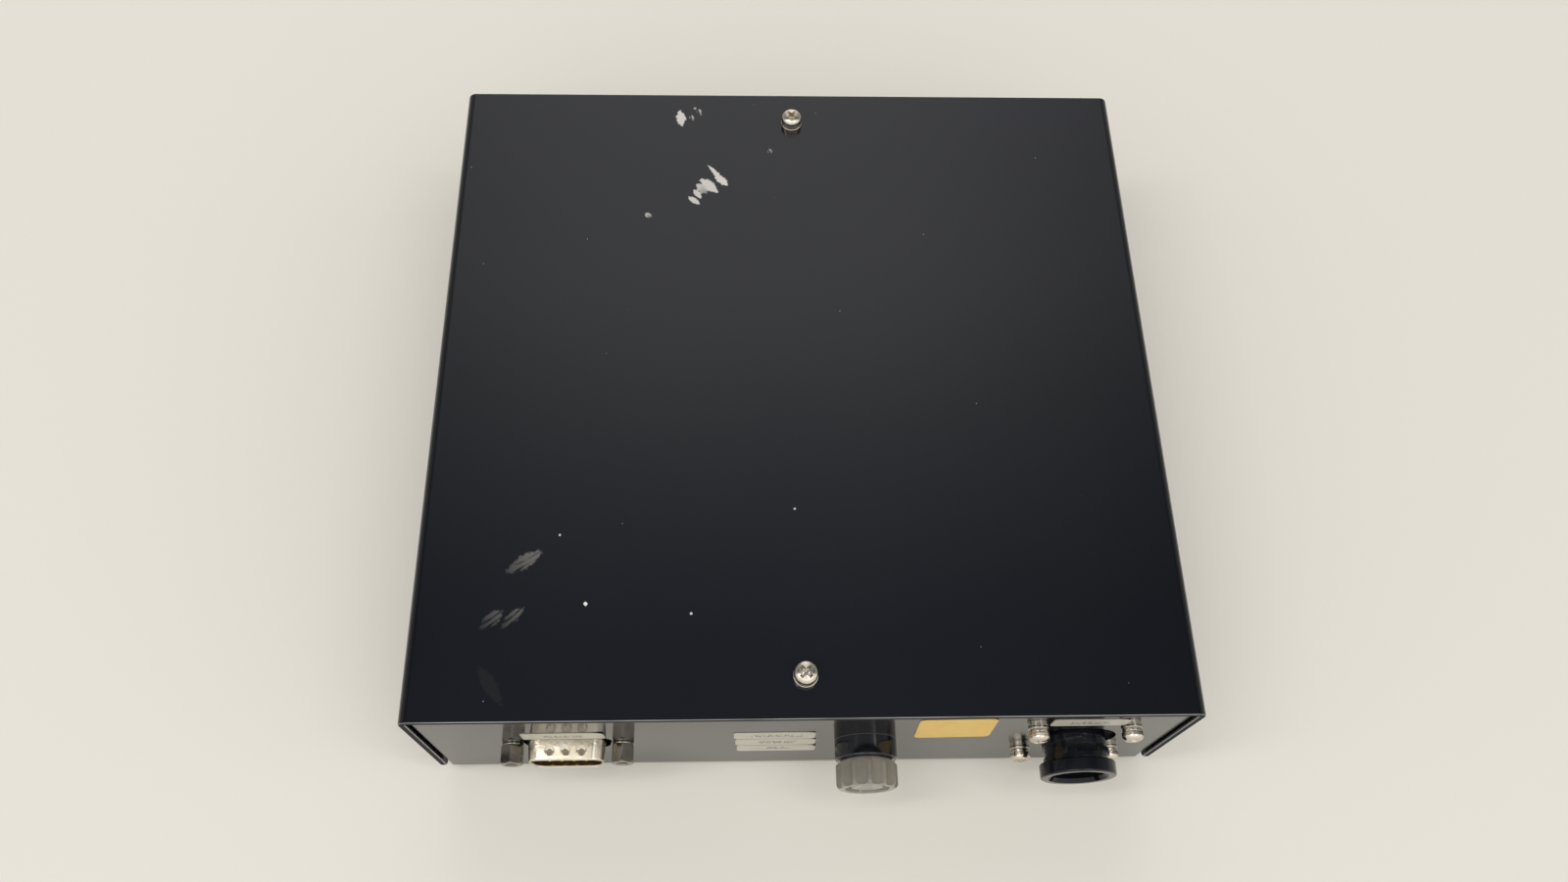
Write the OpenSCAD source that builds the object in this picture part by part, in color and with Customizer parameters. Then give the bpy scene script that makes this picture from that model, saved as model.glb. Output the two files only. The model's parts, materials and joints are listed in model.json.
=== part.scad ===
// Serial interface box: a folded steel case with a nine-way serial plug, a panel fuse
// holder and a round power socket on its front, and the interface board inside.
// X runs to the right, Y to the back and Z up. The origin is the centre of the base
// plate's underside, and the cover's footprint is centred on it.

/* [Case] */
// Width over the cover
body_w = 172; // [165:1:240]
// Depth over the cover
body_d = 168; // [135:1:240]
// Height from the underside of the base to the top of the cover
body_h = 50; // [48:0.5:80]
// Thickness of the steel sheet
sheet_t = 1.5; // [1:0.1:1.8]
// Outer radius of the bends
bend_r = 2.2; // [2:0.1:3]
// Height of the cover's lower edge above the underside of the base
skirt_gap = 5; // [3:0.5:8]
// Radius of the lower corners of the cover's walls
skirt_corner_r = 1.5; // [0.5:0.1:2.5]
// How far the front and rear walls sit inside the cover's edges
panel_recess = 0.9; // [0.4:0.1:2]
// Gap between the cover's walls and the chassis
side_clear = 0.6; // [0.3:0.1:1]
// Gap between the cover's top sheet and the chassis flanges
lid_clear = 0.3; // [0.3:0.1:0.6]
// Length of the chassis flanges that carry the cover
flange_len = 16; // [14:1:24]
// Height of the chassis side lips
lip_h = 12; // [8:1:20]
// Distance from the cover's edge to a cover screw
screw_inset = 9.4; // [8.5:0.1:11]

/* [Screws] */
// Thread diameter of the machine screws
screw_d = 2.8; // [2.6:0.1:3]
// Head diameter of the machine screws
head_d = 5.2; // [5:0.1:5.6]
// Head height of the machine screws
head_h = 2.1; // [1.6:0.1:2.4]
// Outer diameter of the spring washers
spring_washer_d = 5.2; // [4.8:0.1:5.6]
// Thickness of the spring washers
spring_washer_t = 0.8; // [0.6:0.1:1]
// Outer diameter of the plain washers
washer_d = 5.4; // [5:0.1:5.6]
// Thickness of the plain washers
washer_t = 0.5; // [0.3:0.1:0.6]
// Width across the flats of the hexagon nuts
nut_af = 5.5; // [5:0.1:5.5]
// Height of the hexagon nuts
nut_h = 2.4; // [2:0.1:3]

/* [Serial plug] */
// Height of the front connectors' axes above the underside of the base
port_z = 25; // [24:0.5:30]
// Distance from the case's left side to the serial plug
dsub_inset = 32.8; // [30:0.2:40]
// Width of the plug's shell
shell_w = 16.9; // [16.8:0.05:17]
// Height of the plug's shell
shell_h = 8.4; // [8.3:0.05:8.5]
// How far the shell stands out of the front wall
shell_reach = 4.7; // [4.2:0.1:5.2]
// Wall of the shell
shell_t = 0.4; // [0.3:0.05:0.5]
// Distance between the two jack posts
jack_span = 24.99; // [24.9:0.01:25.1]
// Width across the flats of a jack post
jack_af = 4.75; // [4.5:0.05:5]
// Length of a jack post
jack_len = 4.8; // [4:0.1:6]
// Radius of the threaded hole in a jack post
jack_hole_r = 1.15; // [1.1:0.01:1.3]
// Depth of the threaded hole in a jack post
jack_hole_l = 4; // [3:0.1:4.4]
// Distance between neighbouring pins
pin_pitch = 2.77; // [2.7:0.01:2.84]
// Distance between the two rows of pins
pin_row = 2.84; // [2.7:0.01:2.9]
// Radius of a pin
pin_r = 0.5; // [0.4:0.05:0.6]

/* [Fuse holder] */
// Distance of the fuse holder from the middle of the case
fuse_x = 14.6; // [10:0.2:20]
// Diameter of the holder in front of the wall
holder_d = 14.2; // [13.6:0.1:16]
// Length of the holder in front of the wall
holder_len = 4.8; // [4:0.1:7]
// Diameter of the holder behind the wall
holder_stem_d = 12; // [11.6:0.1:13]
// Length of the holder behind the front face of the wall
holder_back = 34; // [32:0.5:40]
// Diameter of the fuse cap
cap_d = 14; // [13.4:0.1:15]
// Length of the cap's fluted grip
cap_len = 5.6; // [4.5:0.1:8]
// Number of flutes round the cap
cap_flutes = 12; // [8:1:16]
// Diameter of the cap's sleeve
cap_sleeve_d = 10.2; // [9.6:0.1:10.6]
// Outer diameter of the fuse's metal ends
fuse_d = 5.2; // [5:0.05:5.4]
// Length of the fuse
fuse_len = 20; // [18:0.5:21]

/* [Power socket] */
// Distance from the case's right side to the power socket
socket_inset = 23; // [20:0.2:28]
// Outer radius of the socket's barrel
barrel_r = 7; // [6.8:0.1:7.6]
// Radius of the socket's mouth
mouth_r = 6.1; // [5.8:0.05:6.2]
// Outer radius of the socket's rim
rim_r = 8.6; // [8.2:0.1:9]
// Length of the socket's rim
rim_len = 3.2; // [2.5:0.1:4]
// How far the socket stands out of the front wall
socket_reach = 9.2; // [8:0.1:12]
// Depth of the socket's mouth
mouth_depth = 8.8; // [7:0.1:9]
// Radius of the insert behind the mouth
insert_r = 5.2; // [4.6:0.1:5.6]
// Distance between neighbouring socket screws
socket_pitch = 21; // [20.4:0.1:22]
// Side of the socket's square flange
socket_flange = 26.4; // [26:0.1:28]
// Thickness of the socket's flange
socket_flange_t = 2.4; // [2:0.1:3]

/* [Labels] */
// Thickness of the labels
label_t = 0.15; // [0.1:0.05:0.3]
// Length of a label strip
strip_w = 18.4; // [16:0.1:20]
// Height of a label strip
strip_h = 6.1; // [5:0.1:6.4]
// Distance between neighbouring rating strips
strip_pitch = 6.5; // [6.4:0.1:7]
// Width of the amber sticker
sticker_w = 17.2; // [14:0.1:18]
// Height of the amber sticker
sticker_h = 17.4; // [14:0.1:18.4]
// Tilt of the amber sticker in degrees
sticker_tilt = 2; // [-5:0.5:5]
// Gap between the sticker and the bend at the top of the wall
sticker_gap = 1.4; // [0.6:0.1:6]

/* [Board] */
// Gap between the board and the case on every side but the front
board_margin = 9; // [7:0.5:16]
// Distance from the front wall to the board's front edge
board_setback = 29; // [27:0.5:40]
// Thickness of the board
board_t = 1.6; // [1:0.1:2]
// Height of the board's standoffs above the base
standoff_h = 8; // [6:0.5:10]
// Diameter of the standoffs
standoff_d = 6; // [5.5:0.1:7]
// Distance from the board's edges to its screws
board_hole_inset = 6; // [5:0.5:9]

/* [Hidden] */
$fn = 48;

snug = 0.03;
slide_gap = 0.3;
running_gap = 0.1;
screw_hole_r = screw_d / 2 + 0.15;

steel = [0.10, 0.10, 0.115];
nickel = [0.72, 0.70, 0.65];
brass = [0.80, 0.64, 0.30];
black_plastic = [0.07, 0.075, 0.08];
grey_plastic = [0.55, 0.53, 0.49];
paper = [0.82, 0.80, 0.74];

chassis_w = body_w - 2 * (sheet_t + side_clear);
chassis_d = body_d - 2 * panel_recess;
chassis_h = body_h - sheet_t - lid_clear;
panel_y = -chassis_d / 2;
cover_screw_y = body_d / 2 - screw_inset;
cover_screw_l = washer_t + spring_washer_t + sheet_t + lid_clear + sheet_t + 3;
clinch_nut_h = 3;
nut_collar_r = 2.1;
lip_relief = 3;

dsub_x = -body_w / 2 + dsub_inset;
dsub_flange_w = 30.8;
dsub_flange_h = 12.5;
dsub_plate_t = 0.5;
dsub_taper = 10;
dsub_corner_r = 2.6;
corner_steps = 8;
dsub_cut_gap = 1.6;
dent_r = 1;
dent_depth = 0.25;
dsub_back_z = -sheet_t - snug - dsub_plate_t;
dsub_rear_z = dsub_back_z - snug - dsub_plate_t;
dsub_floor_z = shell_reach - 5.6;
dsub_body_w = 18.6;
dsub_body_h = 9.6;
dsub_body_l = 6;
dsub_tail_z = dsub_rear_z - dsub_body_l;
solder_cup_r = 0.9;
solder_cup_l = 4;

neck_len = 0.4;
cap_back_z = holder_len + slide_gap + neck_len;
cap_front_z = cap_back_z + cap_len;
cap_sleeve_l = 10.5;
cap_sleeve_z = cap_back_z - neck_len - cap_sleeve_l;
fuse_front_z = 3;
fuse_back_z = fuse_front_z - fuse_len;
fuse_end_l = 5.5;
fuse_end_wall = 0.25;
fuse_tube_r = fuse_d / 2 - fuse_end_wall;
fuse_bore_r = fuse_d / 2 + slide_gap;
plunger_t = 1.6;
plunger_z = fuse_back_z - slide_gap - plunger_t;
holder_rear_wall = 3;
holder_hole_r = holder_stem_d / 2 + 0.2;
tab_t = 0.6;
tab_w = 3;
tab_l = 6;
side_tab_z = -13;

socket_x = body_w / 2 - socket_inset;
socket_cut_r = rim_r + 0.9;
socket_face_z = socket_reach - mouth_depth;
socket_back_z = -sheet_t - snug - socket_flange_t;
socket_tail_z = -15;
contact_ring_r = 3.1;
contact_r = 0.9;
contact_tail_l = 4;
contact_angles = [45, 135, 225, 315];

base_top = sheet_t;
board_z = base_top + standoff_h;
board_top = board_z + board_t;
board_w = chassis_w - 2 * board_margin;
board_front = panel_y + board_setback;
board_back = -panel_y - board_margin;
board_mid = (board_front + board_back) / 2;
standoff_collar_r = 2.2;
board_hole_x = board_w / 2 - board_hole_inset;
board_hole_y = [board_front + board_hole_inset, board_back - board_hole_inset];

wire_r = 0.8;
header_x = dsub_x;
header_y = board_front + 9;
header_h = 8;
terminal_x = socket_x - 20;
terminal_y = board_front + 8;
terminal_h = 10;
terminal_pitch = 5.08;
terminal_d = 8.2;
earth_x = socket_x - 4;
earth_y = panel_y + 17;
wire_gap = 0.3;
wire_steps = 3;
wire_sides = 8;
spring_turns = 5;

chip_side = 16.6;
// Dual in-line chips: place from the board's middle, and leads on each side
logic_places = [[-36, -14, 8], [-36, 10, 8], [2, 34, 14], [34, 26, 7]];
// Electrolytic capacitors: place from the board's middle, radius and height
cap_places = [[34, -20, 5, 16], [46, -20, 5, 16], [58, -4, 4, 12], [58, 8, 4, 12], [-36, 32, 3.2, 9]];
heatsink_x = 50;
heatsink_y = board_back - 18.1;
heatsink_w = 34;
heatsink_h = 22;
lug_t = 0.8;
lug_l = 12;
lug_barrel_r = 1.4;

// Where the wires meet the connectors' tails, in the case's own axes
serial_tail_y = panel_y - dsub_tail_z + solder_cup_l + wire_gap;
socket_tail_y = panel_y - socket_tail_z + contact_tail_l + wire_gap;
fuse_tail_y = panel_y + holder_back + tab_l + wire_gap;
contact_side = contact_ring_r * cos(45);
terminal_mouth_y = terminal_y - terminal_d / 2 + 1.6;
terminal_wire_z = board_top + 3.5;

// ---- outlines -------------------------------------------------------------

module round_rect(w, h, r) {
    square([w - 2 * r, h], center = true);
    square([w, h - 2 * r], center = true);
    for (x = [-1, 1], y = [-1, 1])
        translate([x * (w / 2 - r), y * (h / 2 - r)]) circle(r);
}

module ring(outer, inner, h) {
    difference() {
        cylinder(r = outer, h = h);
        translate([0, 0, -1]) cylinder(r = inner, h = h + 2);
    }
}

// Half width of the corner centres of a D outline at height y above its middle
function d_half(w, h, r, y) = w / 2 - r - (h / 2 - r - y) * tan(dsub_taper);

// Points of a corner round [x, y] from angle a to angle b
function corner(x, y, r, a, b) = [
    for (i = [0:corner_steps]) let (t = a + (b - a) * i / corner_steps) [x + r * cos(t), y + r * sin(t)]];

// The D outline of the serial plug, wide side up, with round corners
module d_outline(w, h, r) {
    top = h / 2 - r;
    wide = d_half(w, h, r, top);
    narrow = d_half(w, h, r, -top);
    polygon(concat(
        corner(wide, top, r, -dsub_taper, 90),
        corner(-wide, top, r, 90, 180 + dsub_taper),
        corner(-narrow, -top, r, 180 + dsub_taper, 270),
        corner(narrow, -top, r, 270, 360 - dsub_taper)));
}

// Places its children on the front wall: Z outwards, Y up, X to the right
module on_panel(x = 0, z = port_z) {
    translate([x, panel_y, z]) rotate([90, 0, 0]) children();
}

// ---- fasteners ------------------------------------------------------------

// A pan-head screw with a cross recess, its seat at z = 0 and its shank below
module pan_screw(length) {
    r = head_d / 2;
    difference() {
        union() {
            rotate_extrude()
                polygon([
                    [0, 0], [r, 0], [r, head_h * 0.45], [r * 0.93, head_h * 0.72],
                    [r * 0.72, head_h * 0.92], [r * 0.4, head_h], [0, head_h]]);
            translate([0, 0, -length]) cylinder(d = screw_d, h = length + head_h * 0.3);
        }
        for (a = [45, 135])
            rotate(a) translate([-r * 0.55, -r * 0.15, head_h * 0.45])
                cube([r * 1.1, r * 0.3, head_h]);
    }
}

module spring_washer() {
    slit = 0.4;
    difference() {
        ring(spring_washer_d / 2, screw_hole_r, spring_washer_t);
        rotate(35) translate([0, -slit / 2, -1])
            cube([spring_washer_d, slit, spring_washer_t + 2]);
    }
}

module hex_nut(af, h, hole_r) {
    difference() {
        cylinder(d = af / cos(30), h = h, $fn = 6);
        translate([0, 0, -1]) cylinder(r = hole_r, h = h + 2);
    }
}

// ---- case -----------------------------------------------------------------

// Front wall, base, rear wall and top flanges, seen from the side
module chassis_outline() {
    translate([0, chassis_h / 2]) difference() {
        round_rect(chassis_d, chassis_h, bend_r);
        round_rect(chassis_d - 2 * sheet_t, chassis_h - 2 * sheet_t, bend_r - sheet_t);
        translate([-(chassis_d / 2 - flange_len), 0])
            square([chassis_d - 2 * flange_len, chassis_h]);
    }
}

module chassis_lips() {
    length = chassis_d - 2 * lip_relief;
    translate([0, length / 2, lip_h]) rotate([90, 0, 0]) linear_extrude(length)
        difference() {
            round_rect(chassis_w, 2 * lip_h, bend_r);
            round_rect(chassis_w - 2 * sheet_t, 2 * (lip_h - sheet_t), bend_r - sheet_t);
            translate([-chassis_w, 0]) square([2 * chassis_w, lip_h + 1]);
        }
}

module socket_screw_places() {
    for (x = [-1, 1], y = [-1, 1])
        translate([x * socket_pitch / 2, y * socket_pitch / 2, 0]) children();
}

module panel_cuts() {
    depth = sheet_t + 2;
    on_panel(dsub_x) translate([0, 0, -sheet_t - 1]) {
        linear_extrude(depth)
            d_outline(shell_w + 2 * dsub_cut_gap, shell_h + dsub_cut_gap, dsub_corner_r + 0.5);
        for (s = [-1, 1]) translate([s * jack_span / 2, 0, 0])
            cylinder(r = screw_hole_r, h = depth);
    }
    on_panel(fuse_x) translate([0, 0, -sheet_t - 1])
        cylinder(r = holder_hole_r, h = depth);
    on_panel(socket_x) translate([0, 0, -sheet_t - 1]) {
        cylinder(r = socket_cut_r, h = depth);
        socket_screw_places() cylinder(r = screw_hole_r, h = depth);
    }
}

module standoff_places() {
    for (x = [-1, 1], y = board_hole_y) translate([x * board_hole_x, y, 0]) children();
}

module cover_screw_places(z) {
    for (s = [-1, 1]) translate([0, s * cover_screw_y, z]) children();
}

module chassis() color(steel) {
    difference() {
        union() {
            difference() {
                rotate([90, 0, 90]) translate([0, 0, -chassis_w / 2])
                    linear_extrude(chassis_w) chassis_outline();
                for (s = [-1, 1]) translate([s * chassis_w / 2, 0, 0])
                    cube([2 * bend_r, chassis_d - 2 * lip_relief, 4 * sheet_t], center = true);
            }
            chassis_lips();
        }
        panel_cuts();
        standoff_places() translate([0, 0, -1]) cylinder(r = standoff_collar_r, h = sheet_t + 2);
        translate([earth_x, earth_y, -1]) cylinder(r = screw_d / 2 + snug, h = sheet_t + 2);
        cover_screw_places(chassis_h - sheet_t - 1) cylinder(r = nut_collar_r, h = sheet_t + 2);
    }
}

module cover_outline(w, h, r) {
    translate([-w / 2, 0]) square([w, h - r]);
    translate([-w / 2 + r, 0]) square([w - 2 * r, h]);
    for (s = [-1, 1]) translate([s * (w / 2 - r), h - r]) circle(r);
}

// A wall of the cover seen from the side, with its lower corners round
module cover_side_outline() {
    r = skirt_corner_r;
    translate([-body_d / 2, skirt_gap + r]) square([body_d, body_h - skirt_gap]);
    translate([-body_d / 2 + r, skirt_gap]) square([body_d - 2 * r, 2 * r]);
    for (s = [-1, 1]) translate([s * (body_d / 2 - r), skirt_gap + r]) circle(r);
}

module cover() color(steel) difference() {
    intersection() {
        translate([0, body_d / 2, 0]) rotate([90, 0, 0]) linear_extrude(body_d)
            difference() {
                cover_outline(body_w, body_h, bend_r);
                cover_outline(body_w - 2 * sheet_t, body_h - sheet_t, bend_r - sheet_t);
            }
        translate([-body_w, 0, 0]) rotate([90, 0, 90]) linear_extrude(2 * body_w) cover_side_outline();
    }
    cover_screw_places(body_h - sheet_t - 1) cylinder(r = screw_hole_r, h = sheet_t + 2);
}

module cover_screws() color(nickel)
    cover_screw_places(body_h + washer_t + spring_washer_t) pan_screw(cover_screw_l);

module cover_washers() color(nickel) cover_screw_places(body_h + washer_t) spring_washer();

module cover_plain_washers() color(nickel)
    cover_screw_places(body_h) ring(washer_d / 2, screw_hole_r, washer_t);

module clinch_nuts() color(nickel)
    cover_screw_places(chassis_h - sheet_t - clinch_nut_h) difference() {
        union() {
            cylinder(r = nut_af / 2, h = clinch_nut_h - snug);
            cylinder(r = nut_collar_r - snug, h = clinch_nut_h + sheet_t);
        }
        translate([0, 0, -1]) cylinder(r = screw_d / 2 + running_gap, h = clinch_nut_h + sheet_t + 2);
    }

// ---- serial plug ----------------------------------------------------------

module jack_places() {
    for (s = [-1, 1]) translate([s * jack_span / 2, 0, 0]) children();
}

module pin_places() {
    for (i = [-2:2]) translate([i * pin_pitch, pin_row / 2, 0]) children();
    for (i = [-1.5:1.5]) translate([i * pin_pitch, -pin_row / 2, 0]) children();
}

// Places its children on the shell's outer face, at each grounding dent, Z outwards
module dent_places() {
    for (s = [-1, 0, 1])
        translate([s * 3.55, shell_h / 2, shell_reach - 2.1]) rotate([-90, 0, 0]) children();
}

module serial_shell() color(nickel) on_panel(dsub_x) {
    inner_w = shell_w - 2 * shell_t;
    inner_h = shell_h - 2 * shell_t;
    difference() {
        union() {
            translate([0, 0, dsub_back_z]) linear_extrude(dsub_plate_t)
                round_rect(dsub_flange_w, dsub_flange_h, 1.5);
            translate([0, 0, dsub_back_z]) linear_extrude(shell_reach - dsub_back_z)
                d_outline(shell_w, shell_h, dsub_corner_r);
        }
        difference() {
            translate([0, 0, dsub_back_z - 1]) linear_extrude(shell_reach - dsub_back_z + 2)
                d_outline(inner_w, inner_h, dsub_corner_r - shell_t);
            dent_places() translate([0, 0, -shell_t - dent_depth]) cylinder(r = dent_r + shell_t / 2, h = 2);
        }
        dent_places() translate([0, 0, -dent_depth]) cylinder(r = dent_r, h = 1);
        translate([0, 0, dsub_back_z - 1]) jack_places() cylinder(r = screw_hole_r, h = 4);
    }
}

module serial_rear_shell() color(nickel) on_panel(dsub_x) difference() {
    union() {
        translate([0, 0, dsub_rear_z]) linear_extrude(dsub_plate_t)
            round_rect(dsub_flange_w, dsub_flange_h, 1.5);
        translate([0, 0, dsub_rear_z - 3]) linear_extrude(3 + dsub_plate_t)
            round_rect(dsub_body_w + 2 * (snug + 0.4), dsub_body_h + 2 * (snug + 0.4), 1.4);
    }
    translate([0, 0, dsub_rear_z - 4]) linear_extrude(6)
        round_rect(dsub_body_w + 2 * snug, dsub_body_h + 2 * snug, 1);
    translate([0, 0, dsub_rear_z - 4]) jack_places() cylinder(r = screw_hole_r, h = 6);
}

module serial_insulator() color([0.16, 0.13, 0.10]) on_panel(dsub_x) difference() {
    gap = 2 * (shell_t + snug);
    union() {
        translate([0, 0, dsub_back_z - snug]) linear_extrude(dsub_floor_z - dsub_back_z + snug)
            d_outline(shell_w - gap, shell_h - gap, dsub_corner_r - shell_t);
        translate([0, 0, dsub_tail_z]) linear_extrude(dsub_back_z - snug - dsub_tail_z)
            round_rect(dsub_body_w, dsub_body_h, 1);
    }
    translate([0, 0, dsub_tail_z - 1]) pin_places()
        cylinder(r = pin_r + snug, h = dsub_floor_z - dsub_tail_z + 2, $fn = 24);
}

module serial_pins() color(brass) on_panel(dsub_x) pin_places() {
    tip = 0.5;
    top = shell_reach - 0.9;
    translate([0, 0, dsub_tail_z - 0.5]) cylinder(r = pin_r, h = top - tip - dsub_tail_z + 0.5, $fn = 24);
    translate([0, 0, top - tip]) cylinder(r1 = pin_r, r2 = pin_r * 0.5, h = tip, $fn = 24);
    translate([0, 0, dsub_tail_z - solder_cup_l])
        cylinder(r = solder_cup_r, h = solder_cup_l - snug, $fn = 24);
}

module jack_posts() color(nickel) on_panel(dsub_x) jack_places() difference() {
    union() {
        translate([0, 0, washer_t]) rotate(30)
            cylinder(d = jack_af / cos(30), h = jack_len - washer_t, $fn = 6);
        translate([0, 0, dsub_rear_z - nut_h - 1]) cylinder(d = screw_d, h = nut_h + 2 - dsub_rear_z);
    }
    translate([0, 0, jack_len - jack_hole_l]) cylinder(r = jack_hole_r, h = jack_hole_l + 1);
}

module jack_washers() color(nickel) on_panel(dsub_x) jack_places()
    ring(jack_af / 2 + 0.1, screw_hole_r, washer_t);

module jack_nuts() color(nickel) on_panel(dsub_x) jack_places()
    translate([0, 0, dsub_rear_z - nut_h]) rotate(30) hex_nut(nut_af, nut_h, screw_d / 2 + snug);

// ---- fuse holder ----------------------------------------------------------

module fuse_holder() color(black_plastic) on_panel(fuse_x) difference() {
    rotate_extrude() polygon([
        [0, -holder_back], [holder_stem_d / 2 - 0.8, -holder_back],
        [holder_stem_d / 2, -holder_back + 0.8], [holder_stem_d / 2, 0],
        [holder_d / 2, 0], [holder_d / 2, holder_len - 0.3],
        [holder_d / 2 - 0.3, holder_len], [0, holder_len]]);
    translate([0, 0, cap_sleeve_z - slide_gap])
        cylinder(r = cap_sleeve_d / 2 + running_gap, h = holder_len - cap_sleeve_z + 2);
    translate([0, 0, -holder_back + holder_rear_wall])
        cylinder(r = fuse_bore_r, h = holder_back);
    translate([0, 0, -holder_back - 1]) cylinder(r = 1, h = holder_rear_wall + 2);
    translate([holder_stem_d / 2 - 1, -tab_w / 2 - snug, side_tab_z - tab_t / 2 - snug])
        cube([2, tab_w + 2 * snug, tab_t + 2 * snug]);
}

module fuse_holder_nut() color(black_plastic) on_panel(fuse_x)
    translate([0, 0, -sheet_t - 3.5]) hex_nut(16, 3.5 - snug, holder_stem_d / 2 + snug);

module fuse_plunger() color(brass) on_panel(fuse_x) {
    translate([0, 0, plunger_z]) cylinder(r = fuse_d / 2, h = plunger_t);
    translate([0, 0, plunger_z - 4]) cylinder(r = 1.2, h = 4);
}

module fuse_terminals() color(nickel) on_panel(fuse_x) {
    translate([0, 0, -holder_back - 1]) cylinder(r = 0.9, h = holder_rear_wall + 3);
    translate([-tab_w / 2, -tab_t / 2, -holder_back - tab_l]) cube([tab_w, tab_t, tab_l - snug]);
    translate([holder_stem_d / 2 - 1 + snug, -tab_w / 2, side_tab_z - tab_t / 2])
        cube([tab_l + 1, tab_w, tab_t]);
}

// The cap turns and draws out with the fuse held in its sleeve
module fuse_cap() color(grey_plastic) on_panel(fuse_x) difference() {
    union() {
        rotate_extrude() polygon([
            [0, cap_back_z], [cap_d / 2 - 0.4, cap_back_z], [cap_d / 2, cap_back_z + 0.5],
            [cap_d / 2, cap_front_z - 0.9], [cap_d / 2 - 0.7, cap_front_z], [0, cap_front_z]]);
        translate([0, 0, cap_back_z - neck_len]) cylinder(r = cap_d / 2 - 1, h = neck_len + 1);
        translate([0, 0, cap_sleeve_z]) cylinder(d = cap_sleeve_d, h = cap_sleeve_l + 1);
    }
    for (i = [0:cap_flutes - 1]) rotate(360 * (i + 0.5) / cap_flutes)
        translate([cap_d / 2 + 1.15, 0, cap_back_z - 0.1]) cylinder(r = 1.8, h = cap_len + 1);
    translate([0, 0, cap_front_z - 0.7]) ring(5, 3.6, 2);
    translate([0, 0, cap_front_z - 0.35]) cylinder(r = 3.7, h = 1);
    translate([0, 0, cap_sleeve_z - 1])
        cylinder(r = fuse_d / 2 + running_gap, h = fuse_front_z + slide_gap - cap_sleeve_z + 1);
}

module fuse_glass() color([0.8, 0.9, 0.95, 0.5]) on_panel(fuse_x)
    translate([0, 0, fuse_back_z + fuse_end_wall + snug])
        ring(fuse_tube_r, fuse_tube_r - 0.5, fuse_len - 2 * (fuse_end_wall + snug));

module fuse_end_caps() color(nickel) on_panel(fuse_x)
    for (end = [0, 1]) translate([0, 0, end ? fuse_front_z : fuse_back_z]) rotate([end ? 180 : 0, 0, 0])
        difference() {
            cylinder(d = fuse_d, h = fuse_end_l);
            translate([0, 0, fuse_end_wall]) cylinder(r = fuse_tube_r + snug, h = fuse_end_l);
        }

module fuse_wire() color(nickel) on_panel(fuse_x)
    translate([0, 0, fuse_back_z + fuse_end_wall + snug])
        cylinder(r = 0.15, h = fuse_len - 2 * (fuse_end_wall + snug), $fn = 16);

// ---- power socket ---------------------------------------------------------

module socket_housing() color(black_plastic) on_panel(socket_x) difference() {
    rim_z = socket_reach - rim_len;
    union() {
        translate([0, 0, socket_back_z]) linear_extrude(socket_flange_t)
            round_rect(socket_flange, socket_flange, 3);
        translate([0, 0, socket_tail_z]) cylinder(r = barrel_r, h = rim_z - socket_tail_z + 1);
        translate([0, 0, rim_z]) cylinder(r = rim_r, h = rim_len);
        for (a = [20, 140, 260]) rotate(a)
            translate([barrel_r - 0.5, -1.2, 1.6]) cube([1.6, 2.4, 2.2]);
    }
    translate([0, 0, socket_face_z]) cylinder(r = mouth_r, h = mouth_depth + 1);
    translate([0, 0, socket_tail_z - 1]) cylinder(r = insert_r, h = socket_face_z - socket_tail_z + 2);
    for (a = [90, 30, 150, 215, 325]) rotate(a)
        translate([0, -0.75, rim_z + 0.4]) cube([mouth_r + 0.8, 1.5, rim_len + 1]);
    translate([-2.6, barrel_r - 0.35, 2.2]) cube([5.2, 2, 2.6]);
    translate([0, 0, socket_back_z - 1]) socket_screw_places()
        cylinder(r = screw_hole_r, h = socket_flange_t + 2);
}

module contact_places() {
    for (a = contact_angles) rotate(a) translate([contact_ring_r, 0, 0]) children();
}

module socket_insert() color([0.12, 0.12, 0.13]) on_panel(socket_x) difference() {
    translate([0, 0, socket_tail_z]) cylinder(r = insert_r - snug, h = socket_face_z - socket_tail_z);
    translate([0, 0, socket_tail_z - 1]) contact_places()
        cylinder(r = contact_r + snug, h = socket_face_z - socket_tail_z + 2, $fn = 24);
}

module socket_contacts() color(brass) on_panel(socket_x) contact_places() difference() {
    translate([0, 0, socket_tail_z - contact_tail_l])
        cylinder(r = contact_r, h = socket_face_z - socket_tail_z + contact_tail_l - 0.3, $fn = 24);
    translate([0, 0, socket_face_z - 6]) cylinder(r = 0.55, h = 7, $fn = 24);
}

module socket_plain_washers() color(nickel) on_panel(socket_x) socket_screw_places()
    ring(washer_d / 2, screw_hole_r, washer_t);

module socket_spring_washers() color(nickel) on_panel(socket_x) socket_screw_places()
    translate([0, 0, washer_t]) spring_washer();

module socket_screws() color(nickel) on_panel(socket_x) socket_screw_places()
    translate([0, 0, washer_t + spring_washer_t])
        pan_screw(washer_t + spring_washer_t - socket_back_z + nut_h + 0.8);

module socket_nuts() color(nickel) on_panel(socket_x) socket_screw_places()
    translate([0, 0, socket_back_z - nut_h]) hex_nut(nut_af, nut_h, screw_d / 2 + snug);

// ---- labels ---------------------------------------------------------------

module label(w, h) {
    linear_extrude(label_t) round_rect(w, h, 0.8);
}

module serial_label() color(paper)
    on_panel(dsub_x - 0.3, port_z + 7.6) rotate(1) label(strip_w, strip_h - 0.5);

module power_label() color(paper)
    on_panel(socket_x, port_z + socket_pitch / 2 + 4.8) label(strip_w - 1.4, strip_h - 0.3);

module rating_strips() color(paper)
    for (i = [-1:1]) on_panel(-6 + 0.3 * i, port_z - 0.7 - i * strip_pitch) label(strip_w, strip_h);

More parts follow.
